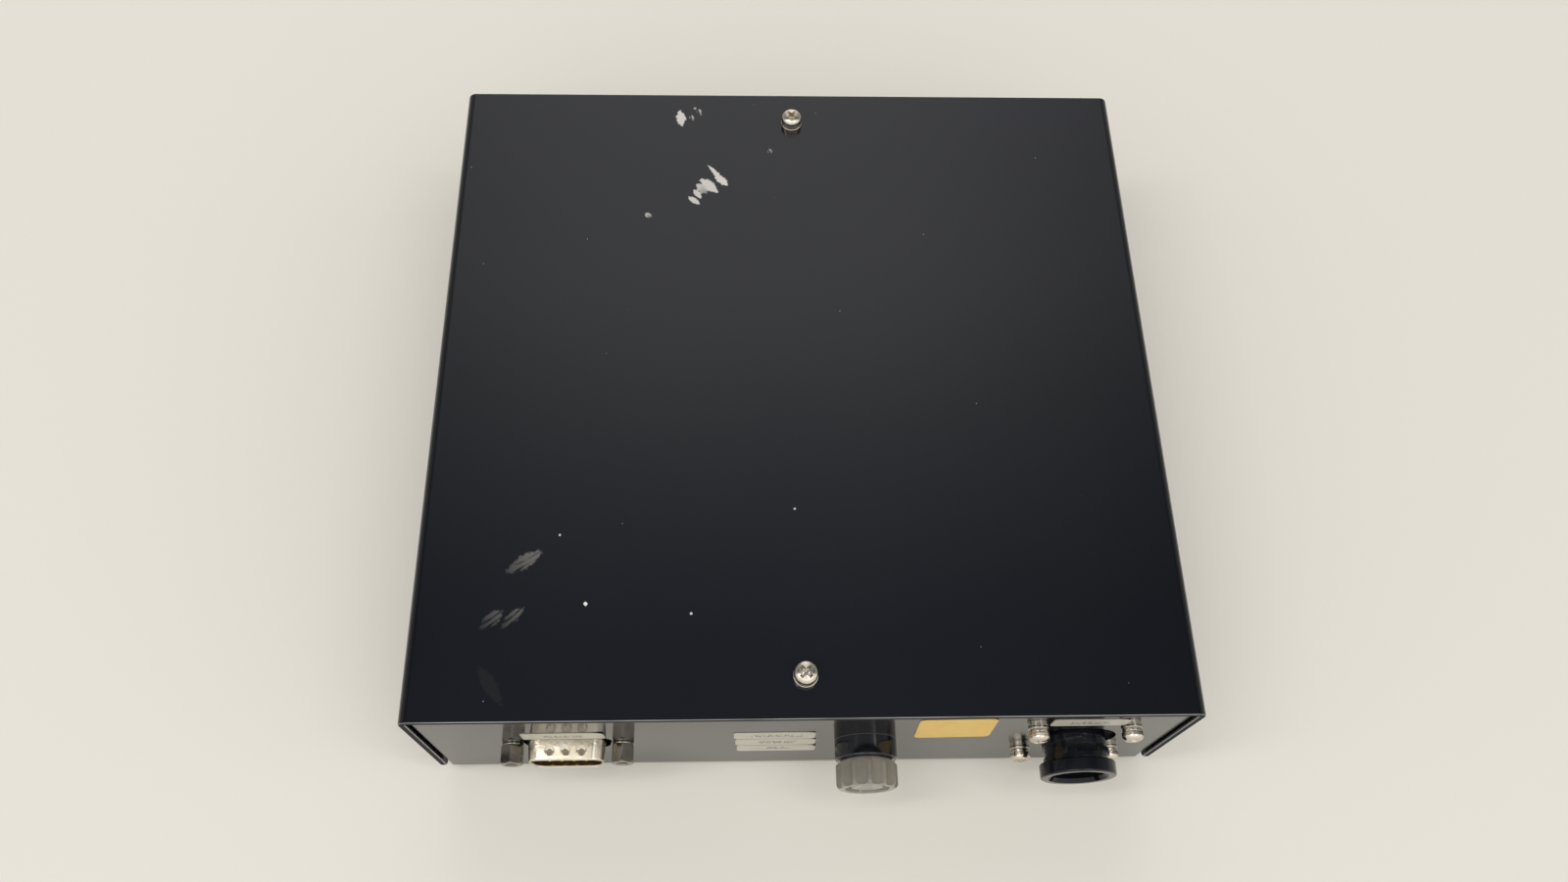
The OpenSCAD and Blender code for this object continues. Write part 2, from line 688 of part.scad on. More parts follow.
module amber_sticker() color([0.86, 0.66, 0.28])
    on_panel(fuse_x + 19.2, chassis_h - bend_r - sticker_gap - sticker_h / 2) rotate(sticker_tilt)
        linear_extrude(label_t) round_rect(sticker_w, sticker_h, 1.6);

// ---- board ----------------------------------------------------------------

module on_board(x, y) {
    translate([x, y, board_top]) children();
}

module board() color([0.10, 0.33, 0.18]) difference() {
    translate([0, board_mid, board_z]) linear_extrude(board_t)
        round_rect(board_w, board_back - board_front, 2);
    standoff_places() translate([0, 0, board_z - 1]) cylinder(r = screw_hole_r, h = board_t + 2);
}

module board_standoffs() color(nickel) standoff_places() difference() {
    union() {
        translate([0, 0, base_top]) cylinder(d = standoff_d, h = standoff_h);
        cylinder(r = standoff_collar_r - snug, h = base_top + 1);
    }
    translate([0, 0, base_top + 1]) cylinder(r = screw_d / 2 + snug, h = standoff_h);
}

module board_screws() color(nickel) standoff_places()
    translate([0, 0, board_top]) pan_screw(board_t + standoff_h - 2);

module controller_chip() color(black_plastic) on_board(2, board_mid + 4) difference() {
    translate([0, 0, 0.6]) linear_extrude(3.8) round_rect(chip_side, chip_side, 0.4);
    translate([0, chip_side / 2 - 2, 4.1]) cylinder(r = 0.8, h = 1);
}

module controller_leads() color(nickel) on_board(2, board_mid + 4)
    for (side = [0:3], i = [-5:5]) rotate(90 * side)
        translate([i * 1.27 - 0.25, chip_side / 2 + snug, 0]) cube([0.5, 0.35, 3]);

module logic_chips() color(black_plastic)
    for (c = logic_places) on_board(c[0], board_mid + c[1]) difference() {
        translate([-c[2] * 1.27, -3.2, 0.7]) cube([c[2] * 2.54, 6.4, 3.4]);
        translate([-c[2] * 1.27, 0, 3.6]) cylinder(r = 0.9, h = 1);
    }

module logic_leads() color(nickel)
    for (c = logic_places, i = [0:c[2] - 1], s = [-1, 1])
        on_board(c[0] + (i + 0.5 - c[2] / 2) * 2.54, board_mid + c[1])
            translate([-0.3, s > 0 ? 3.2 + snug : -3.6 - snug, 0]) cube([0.6, 0.4, 2.6]);

module optocouplers() color([0.90, 0.90, 0.86])
    for (i = [0:3]) on_board(-60, board_mid - 18 + 13 * i)
        translate([-3.2, -4.4, 0]) cube([6.4, 8.8, 3.6]);

module crystal() color(nickel) on_board(-16, board_mid + 4) linear_extrude(3.6) round_rect(4.6, 11, 2.2);

module capacitor_cans() color([0.75, 0.76, 0.78])
    for (c = cap_places) on_board(c[0], board_mid + c[1]) difference() {
        cylinder(r = c[2] - 0.3, h = c[3]);
        for (a = [0, 90]) rotate(a) translate([-c[2] * 0.6, -0.15, c[3] - 0.25]) cube([c[2] * 1.2, 0.3, 1]);
    }

module capacitor_sleeves() color([0.10, 0.14, 0.30])
    for (c = cap_places) on_board(c[0], board_mid + c[1]) ring(c[2], c[2] - 0.3 + snug, c[3] - 0.5);

module choke_core() color([0.30, 0.31, 0.30]) on_board(38, board_mid) difference() {
    union() {
        cylinder(r = 6, h = 1.5);
        translate([0, 0, 6.5]) cylinder(r = 6, h = 1.5);
        cylinder(r = 3.5, h = 8);
    }
    translate([0, 0, 6]) cylinder(r = 1.2, h = 4);
}

module choke_winding() color([0.72, 0.38, 0.18]) on_board(38, board_mid)
    translate([0, 0, 1.5 + snug]) ring(5.5, 3.5 + snug, 5 - 2 * snug);

module heatsink() color([0.12, 0.12, 0.13]) on_board(heatsink_x, heatsink_y) {
    fin_t = 1.4;
    translate([-heatsink_w / 2, -1.5, 0]) cube([heatsink_w, 3, heatsink_h]);
    for (i = [0:6]) translate([-heatsink_w / 2 + i * (heatsink_w - fin_t) / 6, 1.4, 0])
        cube([fin_t, 8, heatsink_h]);
}

module regulator() color(black_plastic) on_board(heatsink_x, heatsink_y)
    translate([-5, -6.2, 4]) cube([10, 3.3, 9.2]);

module regulator_tab() color(nickel) on_board(heatsink_x, heatsink_y) {
    difference() {
        translate([-5, -2.8, 4]) cube([10, 1.3 - snug, 15.6]);
        translate([0, 0, 16.6]) rotate([90, 0, 0]) cylinder(r = 1.8, h = 5);
    }
    for (i = [-1:1]) translate([i * 2.54 - 0.4, -4.8, 0]) cube([0.8, 0.5, 4 - snug]);
}

// Chip resistors and ceramic capacitors, in rows between the larger pieces
module small_parts() color([0.55, 0.45, 0.32]) {
    for (i = [0:5]) on_board(-20, board_mid - 34 + 5 * i) translate([-1.6, -0.8, 0]) cube([3.2, 1.6, 0.7]);
    for (i = [0:5]) on_board(-8 + 6 * i, board_mid - 18) translate([-1.2, -0.9, 0]) cube([2.4, 1.8, 1.1]);
    for (i = [0:4]) on_board(-54 + 6 * i, board_mid + 46) translate([-1.6, -0.8, 0]) cube([3.2, 1.6, 0.7]);
    for (i = [0:3]) on_board(-50, board_mid - 20 + 12 * i) translate([-0.8, -1.6, 0]) cube([1.6, 3.2, 0.7]);
}

module serial_header() color([0.86, 0.84, 0.76]) on_board(header_x, header_y) difference() {
    translate([-6, -3, 0]) cube([12, 6, header_h]);
    translate([0, 0, header_h - 1]) for (i = [-1:1])
        translate([i * pin_pitch, 0, 0]) cylinder(r = wire_r + 0.1, h = 2, $fn = 24);
}

module terminal_places() {
    for (i = [-1:1]) translate([i * terminal_pitch, 0, 0]) children();
}

module power_terminal() color([0.12, 0.42, 0.22]) on_board(terminal_x, terminal_y) difference() {
    translate([-1.5 * terminal_pitch, -terminal_d / 2, 0])
        cube([3 * terminal_pitch, terminal_d, terminal_h]);
    terminal_places() {
        translate([0, 0, terminal_h - 2]) cylinder(r = 1.9, h = 3);
        translate([0, -terminal_d / 2 - 1, 3.5]) rotate([-90, 0, 0]) cylinder(r = wire_r + 0.3, h = 3);
    }
}

module terminal_screws() color(nickel) on_board(terminal_x, terminal_y) terminal_places()
    translate([0, 0, terminal_h - 2]) difference() {
        cylinder(r = 1.8, h = 1.2);
        translate([-2, -0.3, 0.7]) cube([4, 0.6, 1]);
    }

module earth_screw() color(nickel) translate([earth_x, earth_y, base_top + lug_t])
    pan_screw(lug_t + sheet_t - 0.1);

module earth_lug() color(nickel) translate([earth_x, earth_y, base_top]) difference() {
    union() {
        cylinder(r = 3.6, h = lug_t);
        translate([-lug_l + 4, -1.6, 0]) cube([lug_l - 4, 3.2, lug_t]);
        translate([-lug_l, 0, lug_barrel_r]) rotate([0, 90, 0]) cylinder(r = lug_barrel_r, h = 5);
    }
    translate([0, 0, -1]) cylinder(r = screw_hole_r, h = 4);
}

// ---- wires ----------------------------------------------------------------

function unit(v) = v / norm(v);

// A smooth curve through the given points
function blend_point(a, b, c, d, t) =
    0.5 * ((2 * b) + (c - a) * t + (2 * a - 5 * b + 4 * c - d) * t * t
        + (3 * b - a - 3 * c + d) * t * t * t);
function smooth_route(p, n) = [
    for (i = [0:len(p) - 2], k = [0:n - 1])
        blend_point(p[max(i - 1, 0)], p[i], p[i + 1], p[min(i + 2, len(p) - 1)], k / n),
    p[len(p) - 1]];
function headings(p) = [
    for (i = [0:len(p) - 1]) unit(p[min(i + 1, len(p) - 1)] - p[max(i - 1, 0)])];

// Side directions along the route that don't twist round it
function side_ways(h, i, last) = i >= len(h) ? [] :
    let (s = unit(last - (last * h[i]) * h[i])) concat([s], side_ways(h, i + 1, s));

module sweep(route, r, sides, start_side) {
    h = headings(route);
    s = side_ways(h, 0, start_side);
    n = len(route);
    points = [
        for (i = [0:n - 1], k = [0:sides - 1])
            let (a = 360 * k / sides) route[i] + r * (cos(a) * s[i] + sin(a) * cross(h[i], s[i]))];
    walls = [
        for (i = [0:n - 2], k = [0:sides - 1], half = [0, 1])
            let (
                a = i * sides + k,
                b = i * sides + (k + 1) % sides)
                half ? [a, b + sides, b] : [a, a + sides, b + sides]];
    ends = [[for (k = [0:sides - 1]) k], [for (k = [sides - 1:-1:0]) (n - 1) * sides + k]];
    polyhedron(points, concat(walls, ends), convexity = 4);
}

module wire(points) {
    sweep(smooth_route(points, wire_steps), wire_r, wire_sides, [0.1, 0.05, 1]);
}

module fuse_spring() color(nickel) on_panel(fuse_x) {
    low = -holder_back + holder_rear_wall + 0.4;
    high = plunger_z - 0.4;
    steps = 10 * spring_turns;
    sweep([
        for (i = [0:steps])
            let (a = 360 * spring_turns * i / steps)
                [1.95 * cos(a), 1.95 * sin(a), low + (high - low) * i / steps]],
        0.3, 6, [0.1, 0.05, 1]);
}

module serial_wires() color([0.25, 0.45, 0.70]) for (i = [-1:1]) {
    x = dsub_x + i * pin_pitch;
    z = port_z + pin_row / 2;
    header_top = board_top + header_h;
    wire([
        [x, serial_tail_y, z], [x, serial_tail_y + 3, z], [x, header_y - 3, z + 2],
        [x, header_y, header_top + 3], [x, header_y, header_top - 0.7]]);
}

module power_wires() color([0.65, 0.12, 0.10]) {
    tab_x = fuse_x + holder_stem_d / 2 + tab_l - 1.6;
    tab_y = panel_y - side_tab_z + tab_t / 2 + wire_gap;
    live = [socket_x - contact_side, socket_tail_y, port_z + contact_side];
    wire([
        live, live + [0, 3, 0], live + [-6, 6, 2], live + [-20, 5, 4],
        [tab_x + 4, tab_y + 8, port_z + 3], [tab_x, tab_y + 3, port_z], [tab_x, tab_y, port_z]]);
    fused_x = terminal_x - terminal_pitch;
    wire([
        [fuse_x, fuse_tail_y, port_z], [fuse_x, fuse_tail_y + 3, port_z],
        [fuse_x + 7, fuse_tail_y + 6, port_z - 1], [fuse_x + 15, fuse_tail_y - 3, port_z - 4],
        [fused_x, terminal_mouth_y - 9, terminal_wire_z + 2],
        [fused_x, terminal_mouth_y - 4, terminal_wire_z], [fused_x, terminal_mouth_y, terminal_wire_z]]);
    return_x = terminal_x + terminal_pitch;
    zero = [socket_x - contact_side, socket_tail_y, port_z - contact_side];
    wire([
        zero, zero + [0, 2.5, 0], zero + [-5, 4, -3], [return_x, terminal_mouth_y - 6, terminal_wire_z + 1],
        [return_x, terminal_mouth_y - 3, terminal_wire_z], [return_x, terminal_mouth_y, terminal_wire_z]]);
}

module earth_wire() color([0.30, 0.55, 0.15]) {
    earth = [socket_x + contact_side, socket_tail_y, port_z - contact_side];
    lug = [earth_x - lug_l - wire_gap, earth_y, base_top + lug_barrel_r];
    wire([
        earth, earth + [0, 2.5, 0], earth + [-1, 4, -6], lug + [4, 7, 8],
        lug + [-5, 4, 3], lug + [-3, 0, 0], lug]);
}

chassis();
cover();
cover_screws();
cover_washers();
cover_plain_washers();
clinch_nuts();
serial_shell();
serial_rear_shell();
serial_insulator();
serial_pins();
jack_posts();
jack_washers();
jack_nuts();
fuse_holder();
fuse_holder_nut();
fuse_plunger();
fuse_spring();
fuse_terminals();
fuse_cap();
fuse_glass();
fuse_end_caps();
fuse_wire();
socket_housing();
socket_insert();
socket_contacts();
socket_screws();
socket_spring_washers();
socket_plain_washers();
socket_nuts();
serial_label();
power_label();
rating_strips();
amber_sticker();
board();
board_standoffs();
board_screws();
controller_chip();
controller_leads();
logic_chips();
logic_leads();
optocouplers();
crystal();
capacitor_cans();
capacitor_sleeves();
choke_core();
choke_winding();
heatsink();
regulator();
regulator_tab();
small_parts();
serial_header();
power_terminal();
terminal_screws();
earth_screw();
earth_lug();
serial_wires();
power_wires();
earth_wire();
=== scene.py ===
import json
import math

import bpy
from mathutils import Matrix, Vector


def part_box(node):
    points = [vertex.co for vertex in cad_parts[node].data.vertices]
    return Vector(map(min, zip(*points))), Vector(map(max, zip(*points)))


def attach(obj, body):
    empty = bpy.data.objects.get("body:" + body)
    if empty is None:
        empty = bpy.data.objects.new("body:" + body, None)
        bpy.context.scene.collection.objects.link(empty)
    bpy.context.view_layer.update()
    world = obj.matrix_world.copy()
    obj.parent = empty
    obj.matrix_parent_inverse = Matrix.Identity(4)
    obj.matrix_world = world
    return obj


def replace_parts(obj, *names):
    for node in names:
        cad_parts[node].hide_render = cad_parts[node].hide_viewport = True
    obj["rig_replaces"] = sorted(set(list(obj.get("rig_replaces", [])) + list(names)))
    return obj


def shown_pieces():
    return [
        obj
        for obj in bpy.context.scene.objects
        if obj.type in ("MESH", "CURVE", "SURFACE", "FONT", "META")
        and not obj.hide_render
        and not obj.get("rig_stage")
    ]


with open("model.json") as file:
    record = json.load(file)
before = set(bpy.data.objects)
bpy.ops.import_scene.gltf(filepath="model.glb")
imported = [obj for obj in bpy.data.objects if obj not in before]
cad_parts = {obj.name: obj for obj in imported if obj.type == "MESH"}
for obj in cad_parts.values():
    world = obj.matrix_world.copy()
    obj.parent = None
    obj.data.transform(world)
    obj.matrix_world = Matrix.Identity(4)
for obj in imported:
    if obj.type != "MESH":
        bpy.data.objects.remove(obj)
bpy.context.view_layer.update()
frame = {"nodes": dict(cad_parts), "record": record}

MM = 0.001
FULL_SIZE = Matrix.Scale(MM, 4)

# The object's frame is in metres: X right, Y back, Z up, origin under the middle of the cover.
# Shapes are made in millimetres, each in its own bench frame, and then seated in their place.
# The sizes that more than one of them goes by are these.
SHEET = 1.5
BEHIND_WALL = -SHEET - 0.03
THREAD_RADIUS = 1.4
HOLE_RADIUS = 1.55
HEAD_RADIUS = 2.6
PLAIN_WASHER = 0.5
SPRING_WASHER = 0.8
HEAD_SEAT = PLAIN_WASHER + SPRING_WASHER
POST_FLATS = 4.75


def middle(box):
    return (box[0] + box[1]) / 2


def half_pitch(name, radius):
    """Half the distance in X between the centres of a node's outer pieces, to 0.001 mm."""
    low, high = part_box(name)
    return round((high.x - low.x) / 2 / MM - radius, 3)


def on_wall(x, z):
    """Matrix from millimetres in front of the wall (right, up, outwards) to the object's frame."""
    wall_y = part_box("chassis")[0].y
    axes = Matrix(((1, 0, 0, x), (0, 0, -1, wall_y), (0, 1, 0, z), (0, 0, 0, 1)))
    return axes @ FULL_SIZE


def over(name):
    """The same, from the point of the wall in front of a node's middle."""
    centre = middle(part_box(name))
    return on_wall(centre.x, centre.z)


SERIAL = over("serial_shell")
FUSE = over("fuse_glass")
SOCKET = over("socket_insert")
POST_REACH = half_pitch("jack_posts", POST_FLATS / 2)
SCREW_REACH = half_pitch("socket_screws", HEAD_RADIUS)
SOCKET_SCREWS = [(x, y) for y in (-SCREW_REACH, SCREW_REACH) for x in (-SCREW_REACH, SCREW_REACH)]


# ---- shader node tools ----------------------------------------------------

def node(tree, kind, **settings):
    made = tree.nodes.new("ShaderNode" + kind)
    for key, value in settings.items():
        setattr(made, key, value)
    return made


def feed(tree, value, socket):
    """Links a socket, or sets a plain value."""
    if isinstance(value, bpy.types.NodeSocket):
        tree.links.new(value, socket)
    else:
        socket.default_value = value


def maths(tree, operation, a, b=0.0, clamp=False):
    made = node(tree, "Math", operation=operation, use_clamp=clamp)
    feed(tree, a, made.inputs[0])
    feed(tree, b, made.inputs[1])
    return made.outputs[0]


def between(tree, value, low, high, to_low=0.0, to_high=1.0, course="LINEAR"):
    """Takes a value from one range to another, and no further."""
    made = node(tree, "MapRange", clamp=True, interpolation_type=course)
    for k, number in enumerate((value, low, high, to_low, to_high)):
        feed(tree, number, made.inputs[k])
    return made.outputs[0]


def mix(tree, share, a, b):
    made = node(tree, "Mix", data_type="RGBA")
    feed(tree, share, made.inputs[0])
    feed(tree, a, made.inputs[6])
    feed(tree, b, made.inputs[7])
    return made.outputs[2]


def rgb(r, g, b):
    return (r, g, b, 1.0)


# ---- camera, floor and light ----------------------------------------------

def camera():
    stand = Vector((-0.01415, -0.14403, 0.31226))
    right = Vector((0.99934, -0.01827, 0.03130))
    down = Vector((-0.00301, -0.90252, -0.43064))
    ahead = Vector((0.03612, 0.43027, -0.90198))
    data = bpy.data.cameras.new("camera")
    data.lens = 28.61
    data.sensor_width = 36
    data.clip_start = 0.01
    eye = bpy.data.objects.new("camera", data)
    turn = Matrix((right, -down, -ahead)).transposed()
    eye.matrix_world = Matrix.Translation(stand) @ turn.to_4x4()
    bpy.context.scene.collection.objects.link(eye)
    bpy.context.scene.camera = eye


def table_top():
    bpy.ops.mesh.primitive_plane_add(size=6, location=(0, 0, -0.00005))
    floor = bpy.context.object
    floor.name = "table_top"
    look = bpy.data.materials.new("off-white table")
    look.use_nodes = True
    shader = look.node_tree.nodes["Principled BSDF"]
    shader.inputs["Base Color"].default_value = rgb(0.80, 0.770, 0.696)
    shader.inputs["Roughness"].default_value = 0.6
    floor.data.materials.append(look)
    floor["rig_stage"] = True


# The dome's shades, from low down at the rear to overhead
SKY = (
    (0.0, rgb(1.0, 0.985, 0.96)), (0.55, rgb(1.0, 0.985, 0.96)), (0.70, rgb(0.80, 0.80, 0.80)),
    (0.85, rgb(0.74, 0.74, 0.76)), (0.905, rgb(0.42, 0.43, 0.46)), (0.96, rgb(0.13, 0.15, 0.20)),
)
SKY_IN_FRONT = rgb(0.80, 0.79, 0.77)


def dome():
    """A soft dome: one pale tone in front, and behind it bright low down, dim overhead and aside."""
    world = bpy.data.worlds.new("soft dome")
    bpy.context.scene.world = world
    world.use_nodes = True
    tree = world.node_tree
    split = node(tree, "SeparateXYZ")
    feed(tree, node(tree, "TexCoord").outputs["Generated"], split.inputs[0])
    x, y, z = split.outputs
    from_rear = maths(tree, "SQRT", maths(tree, "SUBTRACT", 1.0, maths(tree, "MULTIPLY", y, y)))
    ramp = node(tree, "ValToRGB")
    feed(tree, maths(tree, "MINIMUM", from_rear, maths(tree, "ADD", z, 0.25)), ramp.inputs["Fac"])
    stops = ramp.color_ramp.elements
    stops[0].position, stops[0].color = SKY[0]
    stops[1].position, stops[1].color = SKY[-1]
    for place, shade in SKY[1:-1]:
        stops.new(place).color = shade
    dimmed = node(tree, "VectorMath", operation="SCALE")
    feed(tree, ramp.outputs["Color"], dimmed.inputs[0])
    feed(tree, between(tree, maths(tree, "ABSOLUTE", x), 0.06, 0.48, 1.0, 0.30, "SMOOTHSTEP"),
         dimmed.inputs["Scale"])
    in_front = between(tree, y, 0.12, 0.0, course="SMOOTHSTEP")
    background = tree.nodes["Background"].inputs
    feed(tree, mix(tree, in_front, dimmed.outputs["Vector"], SKY_IN_FRONT), background["Color"])
    background["Strength"].default_value = 1.31


def softbox(name, place, size, power):
    """A warm white area light that points at the middle of the table."""
    data = bpy.data.lights.new(name, "AREA")
    data.shape = "RECTANGLE"
    data.size, data.size_y = size
    data.energy = power
    data.color = (1, 0.98, 0.95)
    lamp = bpy.data.objects.new(name, data)
    lamp.location = place
    lamp.rotation_mode = "QUATERNION"
    lamp.rotation_quaternion = (-Vector(place)).to_track_quat("-Z", "Y")
    bpy.context.scene.collection.objects.link(lamp)


camera()
table_top()
dome()
softbox("front softbox", (0.15, -1.1, 2.0), (2.4, 0.9), 4)
softbox("left strip", (-0.9, -0.2, 1.8), (0.2, 1.2), 6)
softbox("right strip", (0.75, -0.3, 1.9), (0.12, 1.0), 3)
bpy.context.scene.view_settings.view_transform = "Standard"


# ---- bench tools ----------------------------------------------------------

def clear_bench():
    if bpy.context.object and bpy.context.object.mode != "OBJECT":
        bpy.ops.object.mode_set(mode="OBJECT")
    bpy.ops.object.select_all(action="DESELECT")


def pick(*pieces):
    clear_bench()
    for piece in pieces:
        piece.select_set(True)
    bpy.context.view_layer.objects.active = pieces[0]


def edit():
    bpy.ops.object.mode_set(mode="EDIT")


def done():
    bpy.ops.object.mode_set(mode="OBJECT")


def choose(kind, test):
    """Selects the faces, edges or points of the piece in hand that pass the test."""
    edit()
    bpy.ops.mesh.select_mode(type=kind)
    bpy.ops.mesh.select_all(action="DESELECT")
    done()
    mesh = bpy.context.object.data
    if kind == "FACE":
        for face in mesh.polygons:
            face.select = test(face.center, face.normal)
    elif kind == "EDGE":
        for edge in mesh.edges:
            a, b = (mesh.vertices[i].co for i in edge.vertices)
            edge.select = test((a + b) / 2, (b - a).normalized())
    else:
        for point in mesh.vertices:
            point.select = test(point.co, point.normal)
    edit()


def select_all():
    edit()
    bpy.ops.mesh.select_mode(type="VERT")
    bpy.ops.mesh.select_all(action="SELECT")


def extrude(rise, across=1.0, up=1.0):
    """Draws what is selected along Z, then scales it in X and Y."""
    bpy.ops.mesh.extrude_region_move(TRANSFORM_OT_translate={"value": (0, 0, rise)})
    if abs(across - 1) > 1e-6 or abs(up - 1) > 1e-6:
        bpy.ops.transform.resize(value=(across, up, 1))


def settle():
    """Takes the place, turn and scale of the piece in hand into its mesh."""
    bpy.ops.object.transform_apply(location=True, rotation=True, scale=True)


def heal(gap=1e-4):
    """Merges doubled points and turns every face outwards."""
    select_all()
    bpy.ops.mesh.remove_doubles(threshold=gap)
    bpy.ops.mesh.normals_make_consistent(inside=False)
    done()


def close_up():
    """Merges doubled points, fills the open ends and turns every face outwards."""
    select_all()
    bpy.ops.mesh.remove_doubles(threshold=1e-4)
    bpy.ops.mesh.select_all(action="SELECT")
    bpy.ops.mesh.fill_holes(sides=0)
    heal()


def round_corners(radius, segments):
    """Rounds the upright edges of the piece in hand."""
    choose("EDGE", lambda m, d: abs(d.z) > 0.9)
    bpy.ops.mesh.bevel(offset=radius, segments=segments, affect="EDGES")
    done()


def spread_end(side, across, up):
    """Scales the top face (side 1) or the bottom face (side -1) of the piece in hand."""
    choose("FACE", lambda c, n: side * n.z > 0.5)
    bpy.ops.transform.resize(value=(across, up, 1))
    done()


def modify(kind, **settings):
    piece = bpy.context.object
    tool = piece.modifiers.new(kind.title(), kind)
    for key, value in settings.items():
        setattr(tool, key, value)
    bpy.ops.object.modifier_apply(modifier=tool.name)


def soften(width, segments=2, angle=35):
    """Breaks the sharp edges of the piece in hand."""
    modify("BEVEL", width=width, segments=segments, limit_method="ANGLE",
           angle_limit=math.radians(angle), harden_normals=False, use_clamp_overlap=True)


def smooth(angle=32):
    """Smooth shading that keeps flat faces flat."""
    bpy.ops.object.shade_smooth_by_angle(angle=math.radians(angle))
    modify("WEIGHTED_NORMAL", keep_sharp=True)


def box(name, low, high, turn=0.0):
    """A block between two corners, then turned about Z by so many degrees."""
    clear_bench()
    low, high = Vector(low), Vector(high)
    bpy.ops.mesh.primitive_cube_add(size=1, location=(low + high) / 2)
    piece = bpy.context.object
    piece.name = name
    piece.scale = high - low
    settle()
    piece.rotation_euler.z = math.radians(turn)
    settle()
    return piece


def rod(name, radius, low, high, sides=48, at=(0, 0)):
    """A round bar along Z."""
    clear_bench()
    bpy.ops.mesh.primitive_cylinder_add(vertices=sides, radius=radius, depth=high - low,
                                        location=(at[0], at[1], (low + high) / 2))
    piece = bpy.context.object
    piece.name = name
    settle()
    return piece


def turned(name, outline, sides=64):
    """Turns an outline of (radius, height) points round Z, ring by ring, and closes it."""
    clear_bench()
    radius, height = outline[0]
    bpy.ops.mesh.primitive_circle_add(vertices=sides, radius=radius, fill_type="NOTHING",
                                      location=(0, 0, height))
    piece = bpy.context.object
    piece.name = name
    settle()
    select_all()
    for r, z in outline[1:]:
        extrude(z - height, r / radius, r / radius)
        radius, height = r, z
    close_up()
    return piece


def combine(piece, operation, others):
    for other in others:
        pick(piece)
        modify("BOOLEAN", object=other, operation=operation, solver="EXACT")
        bpy.data.objects.remove(other, do_unlink=True)
    pick(piece)


def cut(piece, *punches):
    """Takes the punches out of the piece."""
    combine(piece, "DIFFERENCE", punches)


def weld(piece, *extras):
    """Welds the extras on to the piece."""
    combine(piece, "UNION", extras)


def trim(piece, *limits):
    """Keeps only what lies inside each limit."""
    combine(piece, "INTERSECT", limits)


def drills(radius, low, high, places, sides=32):
    """Punches for round holes along Z."""
    return [rod("drill", radius, low, high, sides, place) for place in places]


def gather(piece, *others):
    """Puts loose parts together as one piece."""
    pick(piece, *others)
    bpy.ops.object.join()
    return piece


def seat(piece, place):
    """Moves a finished shape from its own bench frame to its place."""
    pick(piece)
    piece.matrix_world = place
    settle()
    return piece


def twin(piece, name, place):
    """A copy with its own mesh, at its own place."""
    other = piece.copy()
    other.data = piece.data.copy()
    other.name = name
    bpy.context.scene.collection.objects.link(other)
    return seat(other, place)


SUBPARTS = {row["node"]: row["material_slot"] for row in frame["record"]["subparts"]}
BODIES = frame["record"]["behaviour"]["bodies"]
RIDES_ON = {name: body for body, names in BODIES.items() for name in names}


def hand_over(piece, look, name):
    """Gives a finished piece its material and the body of the node that it stands for, which it replaces.
    """
    piece.data.materials.clear()
    piece.data.materials.append(look)
    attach(piece, RIDES_ON[name])
    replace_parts(piece, name)


# ---- finishes: shared effects ---------------------------------------------

FLOAT, COLOUR = "NodeSocketFloat", "NodeSocketColor"


def here(tree):
    """The place on the piece, in metres."""
    return node(tree, "TexCoord").outputs["Object"]


def noise(tree, place, scale, detail=2.0, rough=0.5):
    made = node(tree, "TexNoise")
    feed(tree, place, made.inputs["Vector"])
    feed(tree, scale, made.inputs["Scale"])
    made.inputs["Detail"].default_value = detail
    made.inputs["Roughness"].default_value = rough
    return made.outputs["Fac"]


def stretched(tree, place, scale):
    """The place, squeezed by a factor along each axis."""
    made = node(tree, "Mapping")
    feed(tree, place, made.inputs["Vector"])
    made.inputs["Scale"].default_value = scale
    return made.outputs["Vector"]


def group(name, inputs, outputs):
    """A new node group: its tree, what it is given and what it gives."""
    tree = bpy.data.node_groups.new(name, "ShaderNodeTree")
    for label, kind, value in inputs:
        tree.interface.new_socket(label, in_out="INPUT", socket_type=kind).default_value = value
    for label, kind in outputs:
        tree.interface.new_socket(label, in_out="OUTPUT", socket_type=kind)
    return tree, tree.nodes.new("NodeGroupInput").outputs, tree.nodes.new("NodeGroupOutput").inputs


def grain_group():
    """Fine random grain, as a value between two limits and as a height."""
    tree, given, result = group(
        "grain", [("Scale", FLOAT, 2000.0), ("Low", FLOAT, 0.2), ("High", FLOAT, 0.4)],
        [("Value", FLOAT), ("Height", FLOAT)])
    height = noise(tree, here(tree), given["Scale"], 3.0)
    feed(tree, between(tree, height, 0.32, 0.68, given["Low"], given["High"]), result["Value"])
    feed(tree, height, result["Height"])
    return tree


def mottle_group():
    """Slow drift between two colours."""
    tree, given, result = group(
        "mottle", [("Scale", FLOAT, 60.0), ("First", COLOUR, (0.5, 0.5, 0.5, 1)),
                   ("Second", COLOUR, (0.4, 0.4, 0.4, 1))],
        [("Colour", COLOUR)])
    drift = between(tree, noise(tree, here(tree), given["Scale"], 4.0, 0.6), 0.35, 0.65)
    feed(tree, mix(tree, drift, given["First"], given["Second"]), result["Colour"])
    return tree


